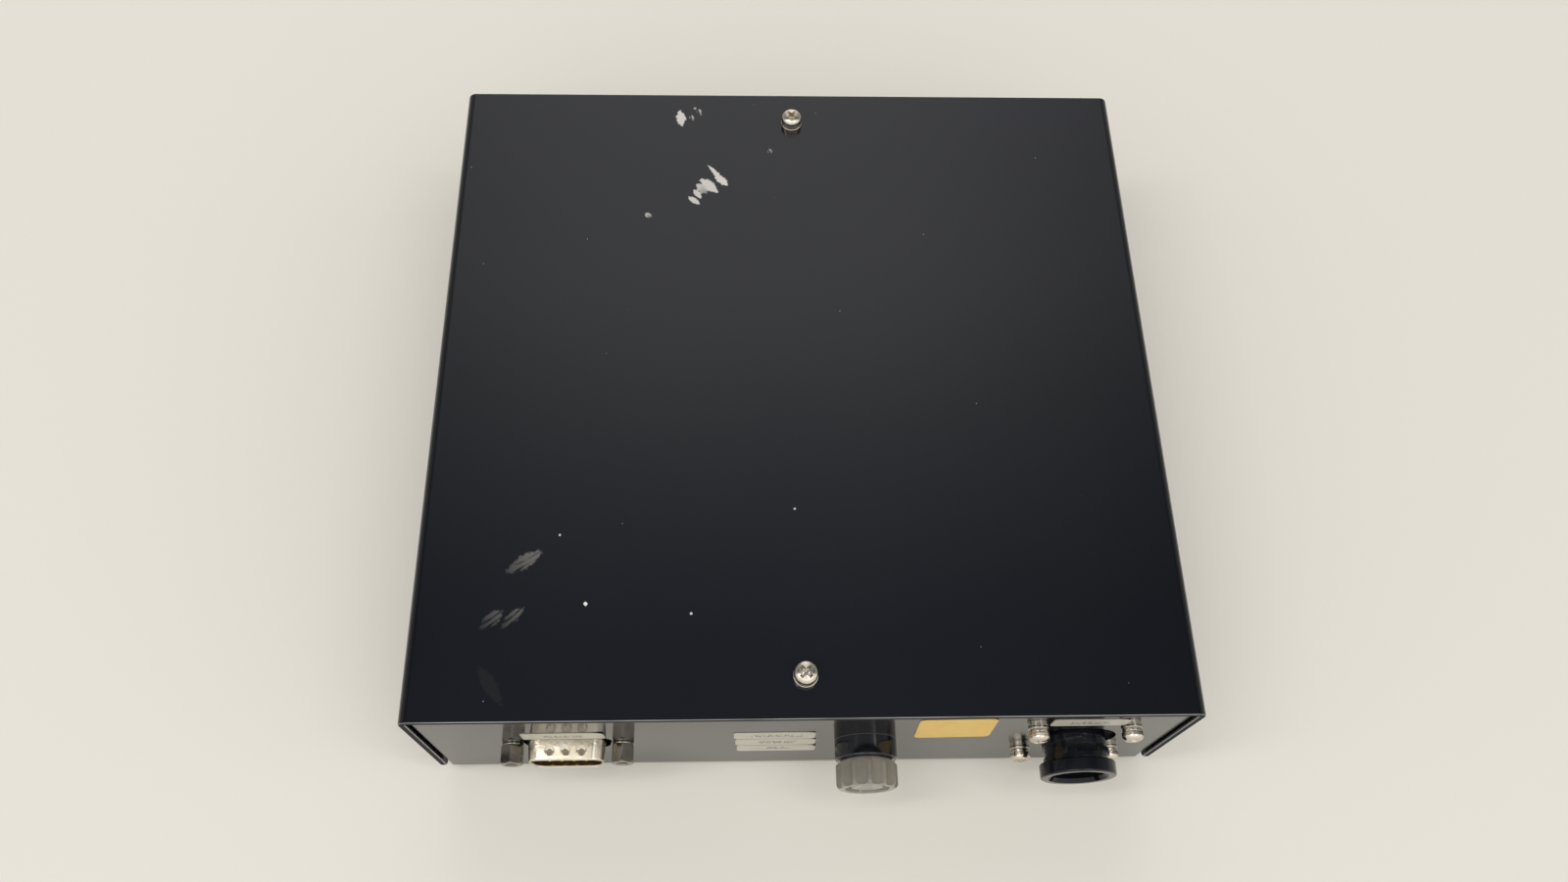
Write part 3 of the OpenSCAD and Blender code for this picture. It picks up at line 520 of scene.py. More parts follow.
def edge_group():
    """A broken band along the outer edges, where handling rubs the finish."""
    tree, given, result = group(
        "edge wear", [("Reach", FLOAT, 0.0004), ("Amount", FLOAT, 0.5)], [("Mask", FLOAT)])
    rounded = node(tree, "Bevel", samples=6)
    feed(tree, given["Reach"], rounded.inputs["Radius"])
    facing = node(tree, "VectorMath", operation="DOT_PRODUCT")
    feed(tree, rounded.outputs["Normal"], facing.inputs[0])
    feed(tree, node(tree, "NewGeometry").outputs["Normal"], facing.inputs[1])
    turn = maths(tree, "SUBTRACT", 1.0, facing.outputs["Value"])
    broken = noise(tree, here(tree), 900.0, 4.0, 0.65)
    band = between(tree, maths(tree, "MULTIPLY", turn, broken), 0.02, 0.12)
    feed(tree, maths(tree, "MULTIPLY", band, given["Amount"]), result["Mask"])
    return tree


def speck_group():
    """Scattered specks of dust. Share is the part of the cells that hold one."""
    tree, given, result = group(
        "specks", [("Scale", FLOAT, 120.0), ("Size", FLOAT, 0.05), ("Share", FLOAT, 0.1)],
        [("Mask", FLOAT)])
    cells = node(tree, "TexVoronoi", feature="F1")
    feed(tree, here(tree), cells.inputs["Vector"])
    feed(tree, given["Scale"], cells.inputs["Scale"])
    inside = maths(tree, "LESS_THAN", cells.outputs["Distance"], given["Size"])
    parts = node(tree, "SeparateColor")
    feed(tree, cells.outputs["Color"], parts.inputs[0])
    held = maths(tree, "LESS_THAN", parts.outputs[0], given["Share"])
    feed(tree, maths(tree, "MULTIPLY", inside, held), result["Mask"])
    return tree


def scratch_group():
    """Hair-fine scratches in one direction, broken up along their length."""
    tree, given, result = group(
        "hair scratches", [("Scale", FLOAT, 900.0), ("Amount", FLOAT, 0.3)], [("Mask", FLOAT)])
    lines = noise(tree, stretched(tree, here(tree), (0.06, 1.0, 1.0)), given["Scale"], 2.0)
    broken = noise(tree, here(tree), 140.0, 2.0)
    thin = maths(tree, "MULTIPLY", between(tree, lines, 0.60, 0.66), between(tree, broken, 0.5, 0.6))
    feed(tree, maths(tree, "MULTIPLY", thin, given["Amount"]), result["Mask"])
    return tree


def cut_edge_group():
    """On the cover's front edge: a pale patchy band on the rounded corner, which is a painted highlight,
    and the dull cut face below it.
    """
    tree, given, result = group(
        "cut edge", [("Bare", FLOAT, 1.0)], [("Painted_highlight", FLOAT), ("Cut", FLOAT)])
    parts = node(tree, "SeparateXYZ")
    feed(tree, node(tree, "NewGeometry").outputs["Normal"], parts.inputs[0])
    forward = maths(tree, "MULTIPLY", parts.outputs["Y"], -1.0)
    corner = maths(tree, "MULTIPLY", between(tree, forward, 0.12, 0.35),
                   between(tree, forward, 0.93, 0.75))
    drawn = noise(tree, stretched(tree, here(tree), (0.25, 1.0, 1.0)), 260.0, 3.0)
    patchy = between(tree, drawn, 0.30, 0.55, 0.45, 1.0)
    # Painted highlight: the corner band is lightened in place of the lamps' glint on the rounded edge, and
    # broken up in patches.
    highlight_band = maths(tree, "MULTIPLY", maths(tree, "MULTIPLY", corner, patchy), given["Bare"])
    feed(tree, highlight_band, result["Painted_highlight"])
    feed(tree, between(tree, forward, 0.93, 0.97), result["Cut"])
    return tree


def rub_group():
    """A rubbed patch on a level face, pointed at both ends, made of strokes along its length.

    Nothing is rubbed below Floor, and Tail is the share that is left at the mark's back end."""
    tree, given, result = group(
        "rub mark", [("X", FLOAT, 0.0), ("Y", FLOAT, 0.0), ("Floor", FLOAT, 0.0),
                     ("Angle", FLOAT, 0.0), ("Length", FLOAT, 0.005), ("Width", FLOAT, 0.002),
                     ("Fill", FLOAT, 0.5), ("Strokes", FLOAT, 1500.0), ("Tail", FLOAT, 1.0)],
        [("Mask", FLOAT)])
    place = here(tree)
    centre = node(tree, "CombineXYZ")
    feed(tree, given["X"], centre.inputs[0])
    feed(tree, given["Y"], centre.inputs[1])
    from_centre = node(tree, "VectorMath", operation="SUBTRACT")
    feed(tree, place, from_centre.inputs[0])
    feed(tree, centre.outputs[0], from_centre.inputs[1])
    turned_back = node(tree, "VectorRotate", rotation_type="Z_AXIS")
    feed(tree, from_centre.outputs[0], turned_back.inputs["Vector"])
    feed(tree, maths(tree, "MULTIPLY", given["Angle"], -1.0), turned_back.inputs["Angle"])
    parts = node(tree, "SeparateXYZ")
    feed(tree, turned_back.outputs[0], parts.inputs[0])
    along = maths(tree, "DIVIDE", parts.outputs["X"], given["Length"])
    across = maths(tree, "DIVIDE", parts.outputs["Y"], given["Width"])
    aside = maths(tree, "MULTIPLY", maths(tree, "ABSOLUTE", across), 0.5)
    out = maths(tree, "ADD", maths(tree, "MULTIPLY", along, along), aside)
    ragged = noise(tree, place, 1300.0, 3.0)
    oval = between(tree, maths(tree, "ADD", out, maths(tree, "MULTIPLY", ragged, 0.3)), 0.42, 0.34)
    strokes = noise(tree, stretched(tree, turned_back.outputs[0], (0.10, 1.0, 0.0)), given["Strokes"], 2.0)
    filled = between(tree, maths(tree, "ADD", strokes, given["Fill"]), 0.97, 1.05)
    level = maths(tree, "GREATER_THAN", parts.outputs["Z"], given["Floor"])
    fading = between(tree, along, -0.5, 0.2, given["Tail"], 1.0)
    mask = maths(tree, "MULTIPLY", maths(tree, "MULTIPLY", oval, filled), level)
    feed(tree, maths(tree, "MULTIPLY", mask, fading), result["Mask"])
    return tree


GRAIN = grain_group()
MOTTLE = mottle_group()
EDGE_WEAR = edge_group()
SPECKS = speck_group()
HAIR_SCRATCHES = scratch_group()
CUT_EDGE = cut_edge_group()
RUB_MARK = rub_group()


def effect(tree, which, **values):
    """Places a shared effect with its own values."""
    made = tree.nodes.new("ShaderNodeGroup")
    made.node_tree = which
    for key, value in values.items():
        feed(tree, value, made.inputs[key])
    return made.outputs


def bump(tree, height, strength, distance=0.0001):
    made = node(tree, "Bump")
    made.inputs["Strength"].default_value = strength
    made.inputs["Distance"].default_value = distance
    feed(tree, height, made.inputs["Height"])
    return made.outputs["Normal"]


def finish(name, **sockets):
    """A new material: itself, its tree and its shader's inputs."""
    look = bpy.data.materials.new(name)
    look.use_nodes = True
    shader = look.node_tree.nodes["Principled BSDF"]
    for key, value in sockets.items():
        shader.inputs[key.replace("_", " ")].default_value = value
    return look, look.node_tree, shader.inputs


def surface(name, first, second, rough, drift=60.0, grain=2500.0, relief=0.15,
            wear=0.0, worn=rgb(0.4, 0.4, 0.4), reach=0.0003, scratches=0.0, **sockets):
    """A material of two drifting colours, with grain, rubbed edges and hair scratches."""
    look, tree, shader = finish(name, **sockets)
    colour = effect(tree, MOTTLE, Scale=drift, First=first, Second=second)["Colour"]
    texture = effect(tree, GRAIN, Scale=grain, Low=rough[0], High=rough[1])
    roughness = texture["Value"]
    if wear:
        rubbed = effect(tree, EDGE_WEAR, Reach=reach, Amount=wear)["Mask"]
        colour = mix(tree, rubbed, colour, worn)
    if scratches:
        lines = effect(tree, HAIR_SCRATCHES, Scale=900.0, Amount=scratches)["Mask"]
        roughness = maths(tree, "ADD", roughness, maths(tree, "MULTIPLY", lines, 0.35), clamp=True)
    feed(tree, colour, shader["Base Color"])
    feed(tree, roughness, shader["Roughness"])
    feed(tree, bump(tree, texture["Height"], relief), shader["Normal"])
    return look


# ---- finishes: the box's own ----------------------------------------------

# Marks on the cover's top: place (mm), angle (degrees), length and width (mm), fill, paleness.
# A mark with a fill over 1 is rubbed all over. A lower one shows only some strokes, and fades.
RUBS = (
    (-29.3, 76.1, 96, 5.6, 2.6, 1.10, 0.60), (-24.4, 78.0, 108, 2.6, 1.6, 0.46, 0.42),
    (-26.4, 76.2, 98, 2.0, 1.4, 0.50, 0.42), (-25.6, 79.4, 70, 1.0, 0.8, 1.10, 0.30),
    (-19.8, 57.9, 128, 7.2, 1.3, 1.10, 0.60), (-18.5, 55.9, 134, 5.2, 2.2, 1.10, 0.62),
    (-21.7, 54.2, 136, 6.6, 2.9, 1.10, 0.58), (-23.5, 53.2, 133, 4.4, 2.6, 0.80, 0.50),
    (-24.6, 51.5, 128, 3.8, 1.6, 1.10, 0.56), (-25.5, 49.5, 141, 4.0, 1.6, 1.10, 0.56),
    (-37.0, 44.8, 149, 2.2, 1.6, 0.60, 0.45), (-5.8, 65.3, 117, 2.0, 1.4, 0.52, 0.25),
    (-61.8, -48.4, 34, 9.8, 3.4, 0.60, 0.105), (-67.9, -61.6, 42, 6.5, 3.2, 0.56, 0.060),
    (-63.4, -61.2, 47, 7.0, 2.3, 0.56, 0.070), (-67.0, -76.1, 123, 10.4, 3.2, 1.10, 0.011),
    (-47.8, -58.2, 0, 1.0, 1.0, 1.10, 0.80), (-24.7, -60.6, 0, 0.7, 0.7, 1.10, 0.60),
    (-54.3, -42.1, 0, 0.6, 0.6, 1.10, 0.45), (-1.5, -36.0, 0, 0.7, 0.6, 1.10, 0.50),
)


def enamel(name, marks=()):
    """Gloss black enamel with faint orange peel and dust, and on the cover the rubs of use and a painted
    highlight along its front edge.
    """
    look, tree, shader = finish(name, IOR=1.5)
    colour = effect(tree, MOTTLE, Scale=14.0, First=rgb(0.0046, 0.0052, 0.0072),
                    Second=rgb(0.0060, 0.0064, 0.0080))["Colour"]
    texture = effect(tree, GRAIN, Scale=3200.0, Low=0.10, High=0.15)
    roughness = texture["Value"]
    dust = effect(tree, SPECKS, Scale=190.0, Size=0.026, Share=0.32)["Mask"]
    colour = mix(tree, dust, colour, rgb(0.26, 0.25, 0.23))
    rubbed = effect(tree, EDGE_WEAR, Reach=0.0005, Amount=0.4)["Mask"]
    colour = mix(tree, rubbed, colour, rgb(0.11, 0.11, 0.11))
    if marks:
        edge = effect(tree, CUT_EDGE, Bare=1.0)
        # Painted highlight: pale grey along the cover's rounded front edge, standing in for the lamps'
        # glint.
        colour = mix(tree, edge["Painted_highlight"], colour, rgb(0.26, 0.26, 0.255))
        roughness = maths(tree, "ADD", roughness, maths(tree, "MULTIPLY", edge["Cut"], 0.85), clamp=True)
    just_below_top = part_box("cover")[1].z - 0.6 * MM
    for x, y, angle, length, width, fill, pale in marks:
        tail = 1.0 if fill > 1 else 0.3
        mask = effect(tree, RUB_MARK, X=x * MM, Y=y * MM, Floor=just_below_top,
                      Angle=math.radians(angle), Length=length * MM, Width=width * MM,
                      Fill=fill, Strokes=1500.0, Tail=tail)["Mask"]
        colour = mix(tree, mask, colour, rgb(pale, pale * 0.97, pale * 0.90))
        dulled = maths(tree, "MULTIPLY", mask, min(0.4, pale * 4))
        roughness = maths(tree, "ADD", roughness, dulled, clamp=True)
    feed(tree, colour, shader["Base Color"])
    feed(tree, roughness, shader["Roughness"])
    peel = noise(tree, here(tree), 620.0, 2.0)
    feed(tree, bump(tree, peel, 0.05, 0.00005), shader["Normal"])
    return look


def printed_film(name, rows):
    """Off-white label film with rows of small printed strokes that spell nothing.

    A row is its middle across and up, its length and its height, in metres."""
    look, tree, shader = finish(name)
    colour = effect(tree, MOTTLE, Scale=220.0, First=rgb(0.50, 0.475, 0.405),
                    Second=rgb(0.45, 0.425, 0.36))["Colour"]
    place = here(tree)
    parts = node(tree, "SeparateXYZ")
    feed(tree, place, parts.inputs[0])
    for x, z, length, tall in rows:
        across = maths(tree, "ABSOLUTE", maths(tree, "SUBTRACT", parts.outputs["X"], x))
        up = maths(tree, "ABSOLUTE", maths(tree, "SUBTRACT", parts.outputs["Z"], z))
        inside = maths(tree, "MULTIPLY", maths(tree, "LESS_THAN", across, length / 2),
                       maths(tree, "LESS_THAN", up, tall / 2))
        strokes = noise(tree, stretched(tree, place, (1.0, 0.0, 0.35)), 1500.0, 1.0)
        ink = maths(tree, "MULTIPLY", inside, between(tree, strokes, 0.47, 0.52))
        colour = mix(tree, maths(tree, "MULTIPLY", ink, 0.72), colour, rgb(0.10, 0.10, 0.10))
    soiled = effect(tree, EDGE_WEAR, Reach=0.0006, Amount=0.6)["Mask"]
    colour = mix(tree, soiled, colour, rgb(0.33, 0.30, 0.25))
    texture = effect(tree, GRAIN, Scale=3600.0, Low=0.34, High=0.48)
    feed(tree, colour, shader["Base Color"])
    feed(tree, texture["Value"], shader["Roughness"])
    feed(tree, bump(tree, texture["Height"], 0.12, 0.00004), shader["Normal"])
    return look


def laminate():
    """Green solder mask over copper tracks, with tinned pads."""
    look, tree, shader = finish("green laminate")
    place = here(tree)
    colour = effect(tree, MOTTLE, Scale=90.0, First=rgb(0.010, 0.085, 0.030),
                    Second=rgb(0.014, 0.105, 0.040))["Colour"]
    flat = stretched(tree, place, (1.0, 1.0, 0.0))
    runs = node(tree, "TexBrick", offset=0.5)
    feed(tree, flat, runs.inputs["Vector"])
    runs.inputs["Scale"].default_value = 95.0
    runs.inputs["Mortar Size"].default_value = 0.035
    runs.inputs["Brick Width"].default_value = 0.9
    runs.inputs["Row Height"].default_value = 0.22
    area = between(tree, noise(tree, flat, 38.0, 1.0), 0.46, 0.50)
    track = maths(tree, "MULTIPLY", runs.outputs["Fac"], area)
    colour = mix(tree, track, colour, rgb(0.030, 0.20, 0.075))
    dots = node(tree, "TexVoronoi", feature="F1")
    feed(tree, flat, dots.inputs["Vector"])
    dots.inputs["Scale"].default_value = 210.0
    dots.inputs["Randomness"].default_value = 0.35
    pad = maths(tree, "MULTIPLY", maths(tree, "LESS_THAN", dots.outputs["Distance"], 0.20), area)
    colour = mix(tree, pad, colour, rgb(0.48, 0.47, 0.43))
    texture = effect(tree, GRAIN, Scale=2600.0, Low=0.26, High=0.38)
    feed(tree, colour, shader["Base Color"])
    feed(tree, texture["Value"], shader["Roughness"])
    feed(tree, maths(tree, "MULTIPLY", pad, 0.9), shader["Metallic"])
    raised = maths(tree, "ADD", maths(tree, "MULTIPLY", track, 0.6), pad)
    feed(tree, bump(tree, raised, 0.4, 0.00006), shader["Normal"])
    return look


def wound_wire():
    """Enamelled copper wire, wound in close turns, with painted shade in the grooves between turns and a
    painted highlight on their crowns.
    """
    look, tree, shader = finish("copper winding", Metallic=0.8)
    parts = node(tree, "SeparateXYZ")
    feed(tree, here(tree), parts.inputs[0])
    pitch = 0.5 * MM
    turns = maths(tree, "SINE", maths(tree, "MULTIPLY", parts.outputs["Z"], 2 * math.pi / pitch))
    # Painted shade and highlight: the colour runs dark in each groove between turns and light on each
    # turn's crown.
    shade = between(tree, turns, -1.0, 1.0)
    feed(tree, mix(tree, shade, rgb(0.18, 0.055, 0.02), rgb(0.62, 0.24, 0.09)), shader["Base Color"])
    feed(tree, effect(tree, GRAIN, Scale=2200.0, Low=0.25, High=0.4)["Value"], shader["Roughness"])
    feed(tree, bump(tree, turns, 0.5, 0.0001), shader["Normal"])
    return look


LOOKS = {
    "cover": enamel("gloss black enamel, marked", RUBS),
    "case": enamel("gloss black enamel"),
    "nickel": surface("nickel plate", rgb(0.70, 0.64, 0.54), rgb(0.58, 0.53, 0.45), (0.16, 0.30),
                      drift=260.0, relief=0.06, scratches=0.5, wear=0.4, worn=rgb(0.78, 0.75, 0.70),
                      Metallic=1.0),
    "shell": surface("warm nickel shell", rgb(0.68, 0.63, 0.53), rgb(0.55, 0.49, 0.38), (0.13, 0.24),
                     drift=180.0, relief=0.05, scratches=0.6, wear=0.3, worn=rgb(0.82, 0.78, 0.70),
                     Metallic=1.0),
    "post": surface("dark nickel", rgb(0.28, 0.255, 0.22), rgb(0.20, 0.18, 0.155), (0.12, 0.22),
                    drift=300.0, relief=0.08, wear=0.8, worn=rgb(0.72, 0.69, 0.64), Metallic=1.0),
    "gold": surface("gold contact", rgb(0.78, 0.56, 0.22), rgb(0.66, 0.45, 0.16), (0.18, 0.30),
                    drift=300.0, relief=0.05, Metallic=1.0),
    "insulator": surface("brown insulator", rgb(0.10, 0.055, 0.022), rgb(0.075, 0.040, 0.016),
                         (0.35, 0.5), drift=200.0),
    "moulding": surface("black moulding", rgb(0.0050, 0.0058, 0.0078), rgb(0.0070, 0.0078, 0.0098),
                        (0.11, 0.17), drift=90.0, relief=0.05, wear=0.3, worn=rgb(0.05, 0.05, 0.055),
                        Specular_IOR_Level=0.25),
    "holder": surface("gloss black moulding", rgb(0.0036, 0.0044, 0.0066), rgb(0.0050, 0.0058, 0.0080),
                      (0.07, 0.13), drift=90.0, relief=0.04, wear=0.3, worn=rgb(0.07, 0.07, 0.07)),
    "cap": surface("smoked cap", rgb(0.35, 0.325, 0.27), rgb(0.29, 0.27, 0.225), (0.08, 0.16),
                   drift=240.0, relief=0.10, scratches=0.5, wear=0.5, worn=rgb(0.55, 0.53, 0.48),
                   Transmission_Weight=0.35, IOR=1.49),
    "amber": surface("amber film", rgb(0.74, 0.49, 0.095), rgb(0.69, 0.44, 0.080), (0.32, 0.46),
                     drift=240.0, relief=0.08, wear=0.7, worn=rgb(0.42, 0.27, 0.10), reach=0.0006),
    "laminate": laminate(),
    "chip": surface("chip epoxy", rgb(0.020, 0.020, 0.021), rgb(0.028, 0.028, 0.028), (0.45, 0.62),
                    drift=200.0, grain=4200.0, relief=0.4, wear=0.3, worn=rgb(0.08, 0.08, 0.08)),
    "white_chip": surface("white optocoupler", rgb(0.62, 0.61, 0.56), rgb(0.56, 0.54, 0.49), (0.4, 0.55),
                          drift=160.0, relief=0.25),
    "can": surface("drawn aluminium", rgb(0.74, 0.75, 0.76), rgb(0.64, 0.65, 0.67), (0.22, 0.36),
                   drift=260.0, relief=0.08, scratches=0.7, Metallic=1.0),
    "sleeve": surface("blue shrink sleeve", rgb(0.012, 0.022, 0.11), rgb(0.016, 0.028, 0.14), (0.24, 0.34),
                      drift=140.0, relief=0.15, wear=0.5, worn=rgb(0.10, 0.13, 0.25)),
    "ferrite": surface("ferrite", rgb(0.040, 0.042, 0.042), rgb(0.055, 0.056, 0.055), (0.5, 0.68),
                       drift=320.0, relief=0.5, wear=0.5, worn=rgb(0.14, 0.14, 0.14)),
    "copper": wound_wire(),
    "anodised": surface("black anodised", rgb(0.016, 0.016, 0.018), rgb(0.022, 0.022, 0.024), (0.38, 0.5),
                        drift=120.0, relief=0.2, wear=0.8, worn=rgb(0.35, 0.35, 0.36), Metallic=0.4),
    "small": surface("chip resistors", rgb(0.30, 0.22, 0.13), rgb(0.06, 0.06, 0.065), (0.4, 0.55),
                     drift=110.0, relief=0.2, wear=0.5, worn=rgb(0.60, 0.60, 0.58)),
    "nylon": surface("natural nylon", rgb(0.68, 0.65, 0.55), rgb(0.60, 0.57, 0.47), (0.35, 0.5),
                     drift=180.0, relief=0.2, Subsurface_Weight=0.1, Subsurface_Scale=0.001),
    "terminal": surface("green terminal", rgb(0.020, 0.16, 0.045), rgb(0.026, 0.19, 0.055), (0.3, 0.42),
                        drift=150.0, relief=0.2, wear=0.4, worn=rgb(0.10, 0.32, 0.14)),
    "glass": surface("fuse glass", rgb(0.93, 0.96, 0.96), rgb(0.90, 0.94, 0.94), (0.02, 0.06),
                     drift=90.0, relief=0.01, Transmission_Weight=1.0, IOR=1.5),
}
for colour_name, (r, g, b) in {"blue": (0.03, 0.12, 0.38), "red": (0.42, 0.02, 0.015),
                               "green": (0.08, 0.28, 0.03)}.items():
    LOOKS[colour_name] = surface(colour_name + " wire sleeve", rgb(r, g, b), rgb(r * 0.8, g * 0.8, b * 0.8),
                                 (0.3, 0.42), drift=220.0, relief=0.12)


# ---- sheet metal ----------------------------------------------------------

def cover_shell():
    """The lift-off cover: one sheet, bent down at both sides, with paint rounded over its edges."""
    bend, lower_corner = 2.2, 1.5
    low, high = (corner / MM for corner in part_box("cover"))
    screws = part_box("cover_screws")
    screw_x, screw_y = middle(screws).x / MM, screws[1].y / MM - HEAD_RADIUS
    piece = box("cover_shell", low, high)
    choose("FACE", lambda c, n: n.z < -0.5 or abs(n.y) > 0.5)
    bpy.ops.mesh.delete(type="FACE")
    choose("EDGE", lambda m, d: abs(d.y) > 0.9 and m.z > high.z - 0.1)
    bpy.ops.mesh.bevel(offset=bend, segments=8, affect="EDGES")
    choose("VERT", lambda v, n: v.z < low.z + 0.1)
    bpy.ops.mesh.bevel(offset=lower_corner, segments=5, affect="VERTICES")
    done()
    modify("SOLIDIFY", thickness=SHEET, offset=-1, use_even_offset=True)
    cut(piece, *drills(HOLE_RADIUS, high.z - 4, high.z + 2, [(screw_x, -screw_y), (screw_x, screw_y)]))
    soften(0.28, 3, 40)
    smooth()
    seat(piece, FULL_SIZE)
    hand_over(piece, LOOKS["cover"], "cover")


# ---- fasteners ------------------------------------------------------------

def thread(outer, low, high, pitch=0.5):
    """Outline of a screw thread as close rings."""
    points, z = [], low
    while z + pitch <= high:
        points += [(outer, z), (outer - 0.22, z + pitch / 2)]
        z += pitch
    return points + [(outer, z)]


def slimmed(piece, share):
    """The same piece with its width at a share of what it was."""
    pick(piece)
    bpy.ops.transform.resize(value=(share, share, 1), center_override=(0, 0, 0))
    settle()
    return piece


def pan_head(name, shank):
    """A pan-head screw with a cross recess, its seat at height 0."""
    outline = [(1.0, -shank), (1.2, -shank + 0.25)] + thread(THREAD_RADIUS, -shank + 0.4, -0.9)
    outline += [(THREAD_RADIUS, 0.0), (2.42, 0.0), (HEAD_RADIUS, 0.14), (HEAD_RADIUS, 0.85),
                (2.56, 1.15), (2.44, 1.42), (2.22, 1.66), (1.88, 1.86), (1.4, 2.0), (0.8, 2.08),
                (0.3, 2.1)]
    screw = turned(name, outline, 48)
    for turn in (45, 135):
        wing = box("wing", (-2.15, -0.5, 0.7), (2.15, 0.5, 2.6))
        spread_end(-1, 0.42, 0.55)
        wing.rotation_euler.z = math.radians(turn)
        cut(screw, wing)
    heal()
    soften(0.05, 2, 40)
    smooth()
    return screw


def split_washer(name, inner, outer, thick):
    """A spring washer: a square wire turned nearly once round, its ends a little apart."""
    clear_bench()
    bpy.ops.mesh.primitive_plane_add(size=1, location=((inner + outer) / 2, 0, thick / 2),
                                     rotation=(math.pi / 2, 0, 0))
    washer = bpy.context.object
    washer.name = name
    washer.scale = (outer - inner, thick, 1)
    settle()
    select_all()
    bpy.ops.mesh.spin(steps=44, angle=math.radians(350), center=(0, 0, 0), axis=(0, 0, 1))
    close_up()
    soften(0.12, 2, 40)
    smooth()
    return washer


def plain_washer():
    """A flat washer with its edges a little broken."""
    top = PLAIN_WASHER
    outline = [(HOLE_RADIUS, 0.06), (1.62, 0.0), (2.6, 0.0), (2.7, 0.1), (2.7, top - 0.1), (2.6, top),
               (1.62, top), (HOLE_RADIUS, top - 0.06), (HOLE_RADIUS, 0.06)]
    washer = turned("plain_washer", outline, 48)
    smooth()
    return washer


def set_of(pattern, name, places, look):
    """Copies of one pattern at several places, as one piece each. The node's name adds an s."""
    for number, place in enumerate(places, 1):
        hand_over(twin(pattern, f"{name}_{number}", place), look, name + "s")
    bpy.data.objects.remove(pattern, do_unlink=True)


def lifted(places, height):
    """The places, each so far along its own Z."""
    return [place @ Matrix.Translation((0, 0, height)) for place in places]


def spun(place, angle):
    """The place, turned about its own Z by so many degrees."""
    return place @ Matrix.Rotation(math.radians(angle), 4, "Z")


def cover_fasteners():
    screws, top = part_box("cover_screws"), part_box("cover")[1].z
    x, y = middle(screws).x, screws[1].y - HEAD_RADIUS * MM
    places = [Matrix.Translation((x, side * y, top)) @ FULL_SIZE for side in (-1, 1)]
    nickel = LOOKS["nickel"]
    set_of(pan_head("screw", 7.6), "cover_screw", lifted(places, HEAD_SEAT), nickel)
    set_of(split_washer("washer", HOLE_RADIUS, 2.6, SPRING_WASHER), "cover_washer",
           lifted(places, PLAIN_WASHER), nickel)
    set_of(plain_washer(), "cover_plain_washer", places, nickel)


def socket_fasteners():
    places = [SOCKET @ Matrix.Translation((x, y, 0)) for x, y in SOCKET_SCREWS]
    turns = (12, 40, -20, 65)
    heads = [spun(place, turn) for place, turn in zip(lifted(places, HEAD_SEAT), turns)]
    slits = [spun(place, turn * 3) for place, turn in zip(lifted(places, PLAIN_WASHER), turns)]
    nickel = LOOKS["nickel"]
    set_of(slimmed(pan_head("screw", 8.4), 0.91), "socket_screw", heads, nickel)
    set_of(split_washer("washer", 1.42, 2.15, SPRING_WASHER), "socket_spring_washer", slits, nickel)
    set_of(slimmed(plain_washer(), 0.86), "socket_plain_washer", places, nickel)


# ---- serial plug ----------------------------------------------------------

def d_face(name, width, height, radius, z, slant=10):
    """A flat D: so wide at its widest, its sides leaning in below, with round corners."""
    clear_bench()
    half_corners = ((90 - slant) / 2, (90 + slant) / 2)
    upper, lower = (radius / math.tan(math.radians(angle)) for angle in half_corners)
    width += 2 * (upper - radius)
    bpy.ops.mesh.primitive_plane_add(size=1, location=(0, 0, z))
    piece = bpy.context.object
    piece.name = name
    piece.scale = (width, height, 1)
    settle()
    choose("VERT", lambda v, n: v.y < 0)
    narrow = 1 - 2 * height * math.tan(math.radians(slant)) / width
    bpy.ops.transform.resize(value=(narrow, 1, 1))
    done()
    for offset, side in ((upper, 1), (lower, -1)):
        choose("VERT", lambda v, n: side * v.y > height / 2 - 1e-3)
        bpy.ops.mesh.bevel(offset=offset, segments=8, affect="VERTICES")
        done()
    return piece


def sideways(name, radius, low, high, x, z, flare=1.0):
    """A round bar that points up the wall, with its edges broken and its upper end flared."""
    bar = rod(name, radius, low, high, 40)
    spread_end(1, flare, flare)
    soften(0.16, 3)
    return seat(bar, Matrix.Translation((x, 0, z)) @ Matrix.Rotation(math.radians(-90), 4, "X"))


def select_level(z):
    """Selects the ring of edges at one height."""
    choose("VERT", lambda v, n: abs(v.z - z) < 1e-3)
    bpy.ops.mesh.select_mode(type="EDGE")


def serial_shell():
    """The drawn D shell on its flange: flared at its foot, rolled at its rim, with round dents."""
    width, height, foot, foot_flare = 16.9, 8.4, -1.6, 1.2
    # How much larger than the bare D the shell is, and how far in front of the wall
    rings = ((1.0, -1.45), (0.84, -1.15), (0.74, -0.7), (0.66, -0.2), (0.30, 2.2), (0.0, 4.2),
             (-0.06, 4.45), (-0.22, 4.62), (-0.5, 4.7))
    last_width, last_height, z = width + foot_flare, height + foot_flare, foot
    piece = d_face("serial_shell_tube", last_width, last_height, 3.0, foot)
    select_all()
    bpy.ops.mesh.delete(type="ONLY_FACE")
    for grow, rise in rings:
        select_level(z)
        extrude(rise - z, (width + grow) / last_width, (height + grow) / last_height)
        last_width, last_height, z = width + grow, height + grow, rise
    done()
    heal()
    modify("SOLIDIFY", thickness=0.38, offset=-1, use_even_offset=True)
    top, dents, dent_z = height / 2, (-3.55, 0.0, 3.55), 2.6
    weld(piece, *[sideways("boss", 1.2, top - 0.65, top - 0.2, x, dent_z) for x in dents])
    cut(piece, *[sideways("dent", 0.78, top - 0.28, top + 0.3, x, dent_z, 1.75) for x in dents])
    heal()
    soften(0.07, 2, 42)
    smooth(40)
    gather(piece, serial_flange(width + 0.6, height + 0.6))
    seat(piece, SERIAL)
    hand_over(piece, LOOKS["shell"], "serial_shell")


